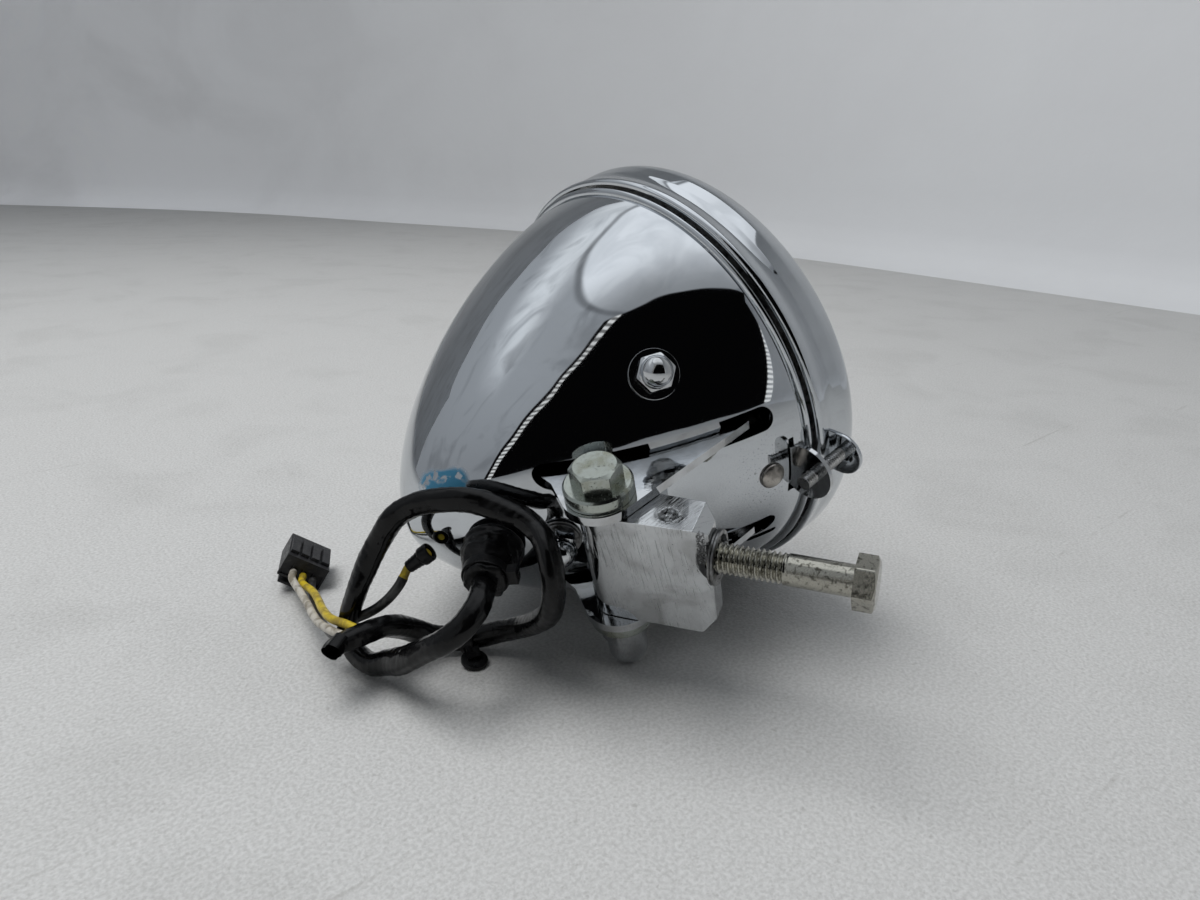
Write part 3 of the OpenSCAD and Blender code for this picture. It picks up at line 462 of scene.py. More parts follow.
# How far behind the mouth the rivet, the side nuts, the rear nut and the harness sit.
RIVET_BACK, SIDE_BACK, REAR_BACK, HARNESS_BACK = 17, 41.9, 84, 99.7
SIDE_ANGLE = 40.6


def skin_r(x):
    return BUCKET_R * (1 - (-x / BUCKET_LEN) ** POWER_LEN) ** (1 / POWER_RAD)


def on_skin(back, angle=0.0):
    """A place on the shell, this far behind the mouth, whose Z points out of it."""
    slope = math.degrees(math.atan(skin_r(-back + 0.5) - skin_r(-back - 0.5)))
    return turn(-angle, "X") @ shift(-back, 0, -skin_r(-back)) @ turn(slope, "Y") @ turn(180, "X")

# %% [markdown]
# ## Smooth routes for the harness
# The cords come before the rest.
# A route is a few points. A spline through them gives an even line, and a ring is laid square to
# it at each step, turned as little as possible from the ring before.

# %% A smooth line through points
def with_ends(points):
    p = [Vector(q) for q in points]
    return [p[0] * 2 - p[1]] + p + [p[-1] * 2 - p[-2]]


def spline(p, i, t):
    """The Catmull-Rom curve between the i-th point and the next."""
    a, b, c, d = p[i - 1:i + 3]
    return (b * 2 + (c - a) * t + (a * 2 - b * 5 + c * 4 - d) * t * t
            + (b * 3 - a - c * 3 + d) * t * t * t) / 2


def smooth_line(points, step):
    p = with_ends(points)
    line = []
    for i in range(1, len(p) - 2):
        n = max(2, round((p[i + 1] - p[i]).length / step))
        line += [spline(p, i, j / n) for j in range(n)]
    return line + [p[-2]]


def smooth_outline(points, n):
    """A denser outline through (radius, height) points."""
    p = with_ends([(r, z, 0) for r, z in points])
    line = [spline(p, i, j / n) for i in range(1, len(p) - 2) for j in range(n)]
    return [(max(q.x, 0.0), q.y) for q in line] + [points[-1]]


def line_length(line):
    return sum((b - a).length for a, b in zip(line, line[1:]))

# %% A tube with its own section at each step
def add_tube(bm, line, section, sides):
    """section(i, share, angle) gives the radius there."""
    n = len(line)
    way = (line[1] - line[0]).normalized()
    side = way.cross(Vector((0.31, 0.22, 0.93))).normalized()
    rings = []
    for i, point in enumerate(line):
        way = (line[min(i + 1, n - 1)] - line[max(i - 1, 0)]).normalized()
        side = (side - way * side.dot(way)).normalized()
        over = way.cross(side)
        ring = []
        for j in range(sides):
            a = 2 * math.pi * j / sides
            r = section(i, i / (n - 1), a)
            ring.append(bm.verts.new(point + (side * math.cos(a) + over * math.sin(a)) * r))
        rings.append(ring)
    bridge(bm, rings)
    bm.faces.new(rings[0][::-1])
    return bm.faces.new(rings[-1])


def folds(a, fine, along):
    """Smooth noise round a section, which changes slowly along it."""
    return noise.noise(Vector((math.cos(a) * fine, math.sin(a) * fine, along)))

# %% [markdown]
# ## The thick sleeve
# A limp vinyl tube with the leads loose in it. It flattens where it bends and creases along its
# length, so its section is an oval that turns and swells, with noise for the creases.

# %% Harness sleeve
SLEEVE_R = 4.0
sleeve_points = [
    (-75.1, -13.2, 39.4), (-81.2, -19.1, 36.8), (-87.2, -20.8, 32.6), (-92, -17, 27), (-95.2, -8.8, 20.5),
    (-97.2, 0, 13.8), (-98.2, 9, 8.6), (-101, 16.5, 5.2), (-102.7, 24.1, 6.6), (-103.1, 28.6, 11.5),
    (-102.1, 27.8, 20), (-99.5, 26.5, 28), (-95.8, 25.5, 36.5), (-92, 23.3, 45), (-89.4, 19, 53),
    (-86.1, 16.1, 57), (-82.5, 10.5, 60.5), (-78.4, 3.7, 62.7), (-74, -2.2, 63.6), (-69.5, -7.3, 62.8),
    (-65.6, -12.6, 61.2), (-62.8, -16.6, 59.7), (-61.2, -21.2, 57.3), (-61.6, -26.2, 55.6),
    (-62.9, -31, 51.3), (-63.2, -33.2, 45.4), (-62.6, -32.6, 38.6), (-60.6, -27.6, 29.8),
    (-57.6, -18, 21.6), (-56.8, -8, 14.6), (-60.6, 1.6, 9.2), (-68, 9.2, 6), (-77.5, 15.5, 7),
    (-87, 17.3, 13.2), (-97.5, 14.2, 19), (-112, 13.6, 18.6), (-115.5, 12.4, 17.6)]
sleeve_line = smooth_line(sleeve_points, 0.9)


def sleeve_section(i, share, a):
    p = sleeve_line[i]
    open_end = max(0.0, (share - 0.975) / 0.025)
    oval = 0.09 + 0.08 * noise.noise(p * 0.035) + 0.2 * open_end
    turned = 2 * (a - 3 * noise.noise(p * 0.02 + Vector((5, 0, 0))))
    r = SLEEVE_R * (0.985 + oval * math.cos(turned))
    r += 0.42 * folds(a, 1.5, i * 0.045) + 0.20 * folds(a, 3.2, i * 0.16 + 9)
    return r - 0.12 * abs(math.sin(i * 0.9 + 2 * math.cos(a)))


bm = bmesh.new()
mouth = [add_tube(bm, sleeve_line, sleeve_section, 30)]
bmesh.ops.inset_individual(bm, faces=mouth, thickness=0.6, depth=0.0)
bmesh.ops.inset_individual(bm, faces=mouth, thickness=0.1, depth=-5.0)
sleeve = add_piece("sleeve", bm, vinyl, "lamp", ["harness_sleeve"], ROW, 60)
print("sleeve", round(line_length(sleeve_line), 1), "mm")

# %% [markdown]
# ## The single wires
# Each is a round lead with a little waviness, made as a tube along the same route as in part.scad.
# They end in the back of the connector, so their far end is the connector.

# %% Single wires
WIRE_D = 3
PLUG = Matrix.Translation((-91.5, 84, 0)) @ turn(-25.5, "Z") @ turn(32, "Y")


def into_plug(cavity):
    """The last two points of a wire, in its hole in the back of the connector."""
    return [PLUG @ Vector((-4.0 * cavity, -before, 3.4)) for before in (6, 0.05)]


def wire_section(i, share, a):
    return WIRE_D / 2 * (0.95 + 0.015 * noise.noise(line[i] * 0.1))


wire_points = {
    "white": [(-108.3, 15.6, 18.9), (-110.2, 20.8, 18.5), (-110.6, 27, 17.4), (-109.9, 36.4, 15),
              (-107.8, 47, 12.5), (-105.4, 57.4, 10.6), (-103.4, 69, 9.4)] + into_plug(3),
    "yellow": [(-104.9, 15.8, 20.2), (-106.6, 20.8, 20.4), (-108, 26, 19.8), (-108, 32, 18.6),
               (-106, 42, 16.2), (-103, 53.5, 13.6), (-100.6, 64.7, 11.2)] + into_plug(2),
    "black": [(-106.2, 15.8, 16.4), (-107.9, 20.8, 15.4), (-109, 27, 14.2), (-107.5, 36.5, 12),
              (-104.4, 51, 9), (-100.6, 65, 7)] + into_plug(1)}
wires = []
for colour, finish, slot in (("white", white_cover, "white_cover"), ("yellow", yellow_cover, "yellow_cover"),
                             ("black", black_cover, "rubber")):
    line = smooth_line(wire_points[colour], 0.8)
    bm = bmesh.new()
    add_tube(bm, line, wire_section, 14)
    wires.append((add_piece(colour + "_lead", bm, finish, "lamp", [colour + "_wire"], ROW, 60), line))
print("wires", [round(line_length(line), 1) for _, line in wires], "mm")

# %% [markdown]
# ## The branch
# A thin lead leaves the sleeve. It is black and then yellow, and ends in a black boot.

# %% The branch to the terminal boot
BOOT_BACK, BOOT_MOUTH = Vector((-84.3, 18.5, 35)), Vector((-78.5, 13.9, 41))
YELLOW_FROM = 23.4
branch_points = [
    (-101.2, 26.9, 17.5), (-97.8, 23.2, 20.2), (-94.7, 21.1, 22.5), (-91.6, 18.9, 26), (-88.5, 18.1, 29.6),
    (-86.6, 18.6, 31.6), BOOT_BACK, BOOT_BACK.lerp(BOOT_MOUTH, 0.5), BOOT_BACK.lerp(BOOT_MOUTH, 0.92)]
branch_line = smooth_line(branch_points, 0.8)


def branch_section(i, share, a):
    return 1.7 if line_length(branch_line[:i + 1]) < YELLOW_FROM else 1.5


def is_yellow(centre):
    return (centre * 1000 - BOOT_BACK).length < 4.3 or (centre * 1000 - BOOT_MOUTH).length < 9


bm = bmesh.new()
add_tube(bm, branch_line, branch_section, 16)
branch = add_piece("branch_lead", bm, black_cover, "lamp", ["branch_wire", "branch_end"], ROW, 60)
second_finish(branch.data, yellow_cover, is_yellow)

# %% Terminal boot on the branch
def facing(start, end):
    """A place at start whose Z runs toward end."""
    return Matrix.Translation(start) @ (end - start).to_track_quat("Z", "Y").to_matrix().to_4x4()


span = (BOOT_MOUTH - BOOT_BACK).length
folded_neck = [(1.3, 0), (2.1, 0), (2.25, 0.5), (2.1, 1.1), (2.35, 1.7), (2.2, 2.4), (2.5, 3.1), (2.35, 3.9),
               (2.65, 4.6), (2.6, 5.4)]
barrel = [(3.2, 5.9), (3.3, 6.4), (3.3, span - 0.4), (3.0, span), (2.3, span), (2.2, span - 0.3), (2.2, 6.8),
          (0, 6.8)]
bm = bmesh.new()
add_turned(bm, folded_neck + barrel, 36, facing(BOOT_BACK, BOOT_MOUTH))
bullet = add_piece("terminal_boot", bm, rubber, "lamp", ["bullet_boot"], ROW, 50, False)
print("branch", round(line_length(branch_line), 1), "mm")

# %% [markdown]
# ## The connector
# A rounded box with a lock lever under it. Its back, where the wires go in, is a frame with
# ribs between the holes.

# %% Connector
bm = bmesh.new()
add_box(bm, (-17, 1.2, 0), (0, 20, 9.5))
add_box(bm, (-15.5, 1, -3.6), (-8, 16, -2.3))
add_box(bm, (-15.5, 14, -3.6), (-8, 16.4, 0.4))
soften(bm, 0.45)
for k in range(5):
    x = -0.25 - 4.15 * k
    add_box(bm, (x - 0.35, 0, 0.2), (x + 0.25, 1.5, 9.3))
for low, high in ((0, 0.8), (5.6, 9.5)):
    add_box(bm, (-17, 0.05, low), (0, 1.5, high))
add_box(bm, (-16.8, 0.9, 0.5), (-0.2, 1.4, 6))
connector = add_piece("plug_housing", bm, plug_nylon, "lamp", ["connector"], ROW @ PLUG, 30)

# %% [markdown]
# ## Things that repeat
# Ribs, teeth and screw threads are one small shape many times, or one rule along a length.
# Geometry Nodes keep the counts and the pitch as named inputs.

# %% A Geometry Nodes tree with named inputs
def new_nodes(name, numbers):
    tree = bpy.data.node_groups.new(name, "GeometryNodeTree")
    for label, value in numbers.items():
        kind = "NodeSocketInt" if isinstance(value, int) else "NodeSocketFloat"
        tree.interface.new_socket(name=label, in_out="INPUT", socket_type=kind).default_value = value
    tree.interface.new_socket(name="Finish", in_out="INPUT", socket_type="NodeSocketMaterial")
    tree.interface.new_socket(name="Shape", in_out="OUTPUT", socket_type="NodeSocketGeometry")
    graph = Graph(tree)
    entry = tree.nodes.new("NodeGroupInput")
    return graph, {s.name: Value(graph, s) for s in entry.outputs if s.name}


def close_nodes(graph, given, shape):
    real = graph.node("GeometryNodeRealizeInstances", None, {0: shape})
    dressed = graph.node("GeometryNodeSetMaterial", None, {"Geometry": real, "Material": given["Finish"]})
    end = graph.tree.nodes.new("NodeGroupOutput")
    graph.tree.links.new(dressed.socket, end.inputs[0])
    return graph.tree


def run_nodes(tree, finish, values=None):
    """Runs a tree on an empty object and returns its result as a plain mesh."""
    host = into_scene("host", bpy.data.meshes.new("host"))
    modifier = host.modifiers.new("nodes", "NODES")
    modifier.node_group = tree
    chosen = {"Finish": finish, **(values or {})}
    for item in tree.interface.items_tree:
        if item.in_out == "INPUT" and item.name in chosen:
            modifier[item.identifier] = chosen[item.name]
    mesh = evaluated_mesh(host)
    host.modifiers.remove(modifier)
    bpy.data.objects.remove(host)
    return mesh


def add_mesh(bm, mesh, at=Matrix()):
    """Adds a mesh, already in millimetres, at a place."""
    mesh.transform(at)
    bm.from_mesh(mesh)
    bpy.data.meshes.remove(mesh)


def unit_grid(g, n):
    """A grid of Steps by Sides points, as the two shares of each point."""
    grid = g.node("GeometryNodeMeshGrid", None, {
        "Size X": 1.0, "Size Y": 1.0, "Vertices X": n["Steps"], "Vertices Y": n["Sides"]})
    u, v, _ = g.split(g.node("GeometryNodeInputPosition"))
    return grid, u + 0.5, v + 0.5


def wrapped(g, grid, spot):
    """The grid with its points at the spots and its seam welded."""
    moved = g.node("GeometryNodeSetPosition", None, {"Geometry": grid, "Position": spot})
    return g.node("GeometryNodeMergeByDistance", None, {"Geometry": moved, "Distance": 0.0005})


def clamped(g, value):
    return g.math("MINIMUM", g.math("MAXIMUM", value, 0.0), 1.0)


def round_z(g, radius, angle, height):
    return g.join(radius * g.math("COSINE", angle), radius * g.math("SINE", angle), height)

# %% [markdown]
# The radius of a threaded rod follows a triangle wave of height and angle, so that its ridge
# climbs one pitch a turn. The thread fades in and out at its two ends.

# %% Threaded rod as a rule
g, n = new_nodes("threaded_rod", {
    "Radius": 4.76, "Depth": 0.8, "Pitch": 1.5875, "Length": 62.0, "Thread From": 0.0, "Thread To": 22.0,
    "Steps": 480, "Sides": 49})
grid, u, v = unit_grid(g, n)
height = u * n["Length"]
wave = g.math("PINGPONG", height / n["Pitch"] - v + 20.0, 0.5) * 2.0
fade_in = clamped(g, (height - n["Thread From"]) / n["Pitch"])
fade_out = clamped(g, (n["Thread To"] - height) / n["Pitch"])
groove = (1.0 - clamped(g, wave * 1.25 - 0.12)) * n["Depth"] * fade_in * fade_out
ROD = close_nodes(g, n, wrapped(g, grid, round_z(g, n["Radius"] - groove, v * (2 * math.pi), height)))
print("threaded rod tree:", len(ROD.nodes), "nodes")

# %% [markdown]
# The ribs stand in a row on the connector, and the teeth in a ring inside the lock washer.

# %% Blocks set out in a row, or round a ring
g, n = new_nodes("row_of_ribs", {"Count": 4, "Spacing": 4.2, "Width": 3.3, "Length": 12.5, "Height": 2.0})
rib = g.node("GeometryNodeMeshCube", None, {"Size": g.join(n["Width"], n["Length"], n["Height"])})
spots = g.node("GeometryNodeMeshLine", None, {"Count": n["Count"], "Offset": g.join(n["Spacing"], 0.0, 0.0)})
RIBS = close_nodes(g, n, g.node("GeometryNodeInstanceOnPoints", None, {"Points": spots, "Instance": rib}))

g, n = new_nodes("ring_of_teeth", {
    "Count": 16, "Ring": 7.9, "Width": 1.5, "Length": 1.7, "Height": 0.8, "Twist": 0.35})
tooth = g.node("GeometryNodeMeshCube", None, {"Size": g.join(n["Length"], n["Width"], n["Height"])})
turned_by = g.node("GeometryNodeInputIndex") * (2 * math.pi) / n["Count"]
placed = g.node("GeometryNodeSetPosition", None, {
    "Geometry": g.node("GeometryNodeMeshLine", None, {"Count": n["Count"]}),
    "Position": round_z(g, n["Ring"], turned_by, 0.0)})
TEETH = close_nodes(g, n, g.node("GeometryNodeInstanceOnPoints", None, {
    "Points": placed, "Instance": tooth, "Rotation": g.join(n["Twist"], 0.0, turned_by)}))
print("ribs and teeth trees")

# %% Ribs on the connector
bm = bmesh.new()
add_mesh(bm, run_nodes(RIBS, plug_nylon), shift(-14.85, 8.85, 9.9))
soften(bm, 0.35)
ribs = add_piece("plug_ribs", bm, plug_nylon, "lamp", (), ROW @ PLUG, 30)

# %% [markdown]
# ## Ties and boots of the harness
# The boot grips the hole in the shell, and a cable tie closes its neck on the sleeve. The second
# tie has a round button that once pushed into a hole on the machine. Here it rests on the table.

# %% Harness boot
BOOT_PLACE = on_skin(HARNESS_BACK)
boot_profile = [(0, -6.2), (6, -6.2), (9.4, -4.2), (9.4, -2.6), (8, -2.4), (8, 0.6), (10, 0.9), (10.3, 2.0),
                (10.0, 4.0), (9.7, 6.4), (9.2, 8.6), (8.3, 10.6), (7.2, 12.0), (6.7, 13.0),
                (6.7, 15.4), (7.2, 16.1), (7.1, 16.9), (6, 17.6), (3.6, 17.7), (0, 17.7)]


def boot_folds(r, z, a):
    """Folds that start outside the shell and fade toward the axis."""
    reach = min(max(z - 1.0, 0) / 4, 1) * min(r / 4, 1)
    depth = 0.9 * folds(a, 1.8, z * 0.22) + 0.5 * folds(a, 4, z * 0.12 + 7)
    depth += 0.45 * folds(a, 2.6, z * 0.7 + 3)
    return max(r + depth * reach, 0)


bm = bmesh.new()
add_turned(bm, smooth_outline(boot_profile, 4), 72, BOOT_PLACE, radius_at=boot_folds)
add_piece("harness_boot_rubber", bm, rubber, "lamp", ["harness_boot"], LAMP, 60, False)

# %% Cable tie round the boot
bm = bmesh.new()
add_turned(bm, [(6.7, 12.2), (7.6, 12.3), (7.75, 12.6), (7.75, 15.3), (7.6, 15.6), (6.7, 15.7)], 56,
           BOOT_PLACE, closed=True)
add_box(bm, (6.9, -2.8, 12.2), (10.4, 2.8, 15.7), BOOT_PLACE)
add_box(bm, (10.2, -1.2, 13.0), (10.9, 1.2, 15.0), BOOT_PLACE)
boot_band = add_piece("boot_cable_tie", bm, nylon, "lamp", ["boot_tie"], LAMP, 30)

# %% Push-mount tie on the sleeve
PUSH_AT, PUSH_FOOT = Vector((-68, 9.2, 6)), Vector((-70.3, 1.8, 1.8))
along_sleeve = (Vector((-77.5, 15.5, 7)) - Vector((-60.6, 1.6, 9.2))).normalized()
band = [(4.35, -2.3), (5.15, -2.2), (5.3, -1.9), (5.3, 1.9), (5.15, 2.2), (4.35, 2.3)]
button = [(0, -0.8), (4.2, -0.8), (4.6, -0.5), (4.6, 0.5), (4.2, 0.8), (2.4, 0.9), (2.2, 0.5), (0, 0.5)]
bm = bmesh.new()
add_turned(bm, band, 48, facing(PUSH_AT, PUSH_AT + along_sleeve), closed=True)
add_box(bm, (-2.2, -2.2, 4.6), (2.2, 2.2, (PUSH_FOOT - PUSH_AT).length), facing(PUSH_AT, PUSH_FOOT))
add_turned(bm, button, 40, Matrix.Translation(PUSH_FOOT) @ turn(12, "X"))
push = add_piece("push_mount_tie", bm, nylon, "lamp", ["push_tie"], ROW, 35)

# %% [markdown]
# For each cord, its path is turned to metres and its length is worked out; neither is kept.

# %% Each cord's path in metres and its length
def declare(line):
    path = [list(p / 1000) for p in line]
    line_length(line) / 1000


declare(sleeve_line)
for wire, line in wires:
    declare(line)
declare(branch_line)

# %% [markdown]
# ## The bucket
# The shell was pressed from sheet over a form. The rule of its skin makes the shape, in Geometry
# Nodes, once for the outside and once for the inside of the sheet.

# %% The skin as a rule
MOUTH_ANGLE = 0.0654
g, n = new_nodes("bucket_skin", {
    "Radius": BUCKET_R, "Length": BUCKET_LEN, "Mouth Angle": MOUTH_ANGLE, "Steps": 84, "Sides": 257})
grid, u, v = unit_grid(g, n)
bend = n["Mouth Angle"] + u * (math.pi / 2 - n["Mouth Angle"])
radius = n["Radius"] * g.math("MAXIMUM", g.math("COSINE", bend), 0.0) ** (2 / POWER_RAD)
depth = -(n["Length"] * g.math("SINE", bend) ** (2 / POWER_LEN))
angle = v * (2 * math.pi)
spot = g.join(depth, radius * g.math("SINE", angle), -(radius * g.math("COSINE", angle)))
SKIN = close_nodes(g, n, wrapped(g, grid, spot))

bm = bmesh.new()
add_mesh(bm, run_nodes(SKIN, chrome))
add_mesh(bm, run_nodes(SKIN, chrome, {"Radius": BUCKET_R - WALL, "Length": BUCKET_LEN - WALL}))
print("skin:", len(bm.faces), "faces in two layers")

# %% [markdown]
# A bead and a neck close the two layers at the mouth. Then slots and holes are cut through both:
# two slots for the ears, one for the ring clamp, a drain, and the round holes.

# %% Bead, neck and the holes of the bucket
outer_rim, inner_rim = [
    ((BUCKET_R - inset) * math.cos(MOUTH_ANGLE) ** (2 / POWER_RAD),
     -(BUCKET_LEN - inset) * math.sin(MOUTH_ANGLE) ** (2 / POWER_LEN)) for inset in (0, WALL)]
bead = [(79.3 + 2.2 * math.cos(math.radians(a)), -1.3 + 1.3 * math.sin(math.radians(a)))
        for a in range(-72, 90, 9)]
neck = [(79.2, 0.05), (79.2, 9.2), (78, 9.2), (78, -2.4)]
add_turned(bm, [outer_rim] + bead + neck + [inner_rim], 256, TO_LENS)
bucket = add_piece("bucket_shell", bm, chrome, "lamp", ["bucket"], LAMP, 30)


def slot_outline(length, width):
    half, r = (length - width) / 2, width / 2
    return [(side * half + r * math.cos(a), r * math.sin(a)) for side, start in ((1, -90), (-1, 90))
            for a in [math.radians(start + 9 * i) for i in range(21)]]


bm = bmesh.new()
for side in (-22.8, 22.8):
    add_plate(bm, slot_outline(71.4, 8.4), -84.7, -15, shift(-48.7, 1 + side, 0))
add_box(bm, (-10, -11, -84.7), (-7.2, 11, -70))
add_plate(bm, slot_outline(13, 3), -6, 6, on_skin(16.6, -23.5))
for back, degrees, r, deep in ((RIVET_BACK, 0, 2.26, 6), (SIDE_BACK, SIDE_ANGLE, 3.4, 6),
                               (SIDE_BACK, -SIDE_ANGLE, 3.4, 6), (REAR_BACK, 0, 3.4, 6),
                               (HARNESS_BACK, 0, 8.2, 12)):
    add_plate(bm, [(r * math.cos(a / 24 * math.pi), r * math.sin(a / 24 * math.pi)) for a in range(48)],
              -deep, deep, on_skin(back, degrees))
bm.transform(LAMP)
bmesh.ops.recalc_face_normals(bm, faces=bm.faces)
cutter = into_scene("cutter", to_mesh(bm, "cutter"))
cut = bucket.modifiers.new("cut", "BOOLEAN")
cut.operation, cut.solver, cut.object = "DIFFERENCE", "EXACT", cutter
bucket.data = evaluated_mesh(bucket)
bucket.modifiers.remove(cut)
bpy.data.objects.remove(cutter)
print("bucket:", len(bucket.data.polygons), "faces after its holes are cut")

# %% [markdown]
# A cut leaves long faces round each hole, and a mirror shows every one of them. The rule of the
# skin also gives its exact direction at each point, so these directions are written to the mesh.

# %% Exact normals on the skin
TO_LAMP = LAMP.inverted()


def skin_way(p, inset):
    """The way that the skin faces at a point of the lamp, or None where this isn't the skin."""
    r = math.hypot(p.y, p.z)
    if p.x > -2.5 or r < 1e-6:
        return None
    along, across = -p.x / (BUCKET_LEN - inset), r / (BUCKET_R - inset)
    if abs(across ** POWER_RAD + along ** POWER_LEN - 1) > 0.003:
        return None
    out = POWER_RAD / (BUCKET_R - inset) * across ** (POWER_RAD - 1) / r
    back = POWER_LEN / (BUCKET_LEN - inset) * along ** (POWER_LEN - 1)
    return Vector((-back, out * p.y, out * p.z))


def skin_normals(mesh):
    mesh.shade_smooth()
    mesh.set_sharp_from_angle(angle=math.radians(30))
    spin = LAMP.to_3x3().normalized()
    points = [TO_LAMP @ v.co for v in mesh.vertices]
    normals = [Vector((0, 0, 0))] * len(mesh.loops)
    for face in mesh.polygons:
        for inset, sign in ((0, 1), (WALL, -1)):
            ways = [skin_way(points[i], inset) for i in face.vertices]
            if None in ways:
                continue
            ways = [(spin @ way).normalized() * sign for way in ways]
            if face.normal.dot(ways[0]) > 0.8:
                for k, way in zip(face.loop_indices, ways):
                    normals[k] = way
    mesh.normals_split_custom_set(normals)
    return sum(1 for way in normals if way.length > 0.5)


print("exact normals on", skin_normals(bucket.data), "corners")
# The neck inside the trim ring takes the dark steel finish: painted shade for the narrow gap between shell
# and ring, and unpolished metal there.
second_finish(bucket.data, dark_steel, lambda centre: (TO_LAMP @ centre).x > 0.1)

# %% [markdown]
# ## The trim ring
# A rolled ring with a narrow bead at its back edge, a shallow hollow and a broad round front.

# %% Trim ring
def quarter(n, last=1):
    """The angles of a quarter turn in n steps, with or without the last one."""
    return [math.pi / 2 * i / n for i in range(n + last)]


def oval(r0, x0, r1, x1):
    """A quarter of an oval round (r0, x0)."""
    return [(r0 + r1 * math.cos(a), x0 + x1 * math.sin(a)) for a in quarter(30)]


ring_back = smooth_outline([(82.0, 0.9), (83.2, 1.2), (83.75, 2.6), (83.45, 4.6), (83.1, 6.4), (83.2, 8.4),
                            (83.55, 10.7)], 5)
ring_out = ring_back + oval(73.2, 14.9, 10.6, 11.6) + [
    (71.9, 26.35), (71.2, 25.8), (70.8, 24.9), (70.8, 22.1)]
ring_in = [(72.0, 22.1), (72.0, 24.4)] + oval(73.2, 14.9, 9.4, 10.4)[::-1] + [
    (82.35, 10.7), (81.9, 6.4), (82.1, 4.1), (81.8, 1.6)]
bm = bmesh.new()
add_turned(bm, ring_out + ring_in, 288, TO_LENS, closed=True)
ear_round = [(87.5 + 8 * math.cos(a), 8 * math.sin(a))
             for a in [math.radians(-90 + 7.5 * i) for i in range(25)]]
ear = bmesh.new()
add_plate(ear, [(82.5, -8)] + ear_round + [(82.5, 8)], 6.0, 7.6, TO_LENS)
soften(ear, 0.55, 30, 3)
add_mesh(bm, to_mesh(ear, "ear"))
add_piece("trim_ring_chrome", bm, chrome, "lamp", ["trim_ring"], LAMP, 30)

# %% [markdown]
# ## Heads, nuts and washers
# A hex head is a prism whose top corners were turned off at 30 degrees, which leaves the curved
# line on each flat. Each corner gets a narrow flat of its own, because a real one is never sharp.

# %% Hexes
BIG_FLAT, SMALL_FLAT, HEAD_HEIGHT = 14.3, 11.1, 6.1
BOLT_R, BOLT_HOLE, STUD_HOLE = 4.76, 5.06, 3.3


def hex_radius(flat, a):
    off = (math.degrees(a) + 30) % 60 - 30
    return min(flat / 2 / math.cos(math.radians(off)), flat * 0.5675)


def hex_angles():
    offsets = (-30, -28.7, -27, -20, -10, 0, 10, 20, 27, 28.7)
    return [math.radians(60 * k + off) for k in range(6) for off in offsets]


def add_hex(bm, flat, height, at, top=0.94, bottom=1.2, low_cut=0.0):
    """A hex whose corners are turned off above top and, for a nut, below bottom, times the flat."""
    rows = [[], [], [], [], []]
    slope = math.tan(math.radians(30))
    for a in hex_angles():
        r = hex_radius(flat, a)
        cone = flat / 2 * top
        low = flat / 2 * bottom
        spots = [(min(r, low), low_cut), (r, low_cut + max(r - low, 0) * slope + 0.01),
                 (r, height - max(r - cone, 0) * slope), (min(r, cone), height), (min(r, cone) * 0.9, height)]
        for row, (q, z) in zip(rows, spots):
            row.append(bm.verts.new(at @ Vector((q * math.cos(a), q * math.sin(a), z))))
    bridge(bm, rows)
    bm.faces.new(rows[-1])
    bm.faces.new(rows[0][::-1])


def add_dome(bm, radius, foot, height, at, lip=0.0):
    """The closed top of an acorn nut."""
    arc = [(radius * math.cos(a), height - radius + radius * math.sin(a)) for a in quarter(14, 0)]
    add_turned(bm, [(radius + lip, foot), (radius, foot + lip)] + arc + [(0, height)], 60, at)

# %% Side nuts, rear nut and their washers
def rounded_washer(inner, outer, low, high, r=0.3):
    return [(inner, low), (outer - r, low), (outer, low + r), (outer, high - r),
            (outer - r * 0.3, high - r * 0.3), (outer - r, high), (inner, high)]


def add_acorn(bm, at):
    add_hex(bm, SMALL_FLAT, 6.15, at, 0.96, 0.98, 1.55)
    add_dome(bm, 5.15, 6.1, 11.95, at, 0.25)


REAR_PLACE = on_skin(REAR_BACK)
SIDE_PLACES = [on_skin(SIDE_BACK, side) for side in (-SIDE_ANGLE, SIDE_ANGLE)]
bm = bmesh.new()
for place in SIDE_PLACES:
    add_acorn(bm, place @ turn(14, "Z"))
add_piece("side_acorn_nuts", bm, small_chrome, "lamp", ["side_nuts"], LAMP, 28)
bm = bmesh.new()
for place in SIDE_PLACES:
    add_turned(bm, rounded_washer(STUD_HOLE, 8.2, 0.05, 1.55), 72, place, closed=True)
add_piece("side_washer_pair", bm, small_chrome, "lamp", ["side_washers"], LAMP, 28)
bm = bmesh.new()
add_acorn(bm, REAR_PLACE)
add_piece("rear_acorn_nut", bm, small_chrome, "lamp", ["rear_nut"], LAMP, 28)
bm = bmesh.new()
add_turned(bm, rounded_washer(STUD_HOLE, 7.6, 0.05, 0.8, 0.2), 60, REAR_PLACE, closed=True)
add_turned(bm, rounded_washer(STUD_HOLE, 6.9, 0.8, 1.55, 0.2), 60, REAR_PLACE, closed=True)
add_piece("rear_washer_stack", bm, dark_steel, "lamp", ["rear_washers"], LAMP, 28)

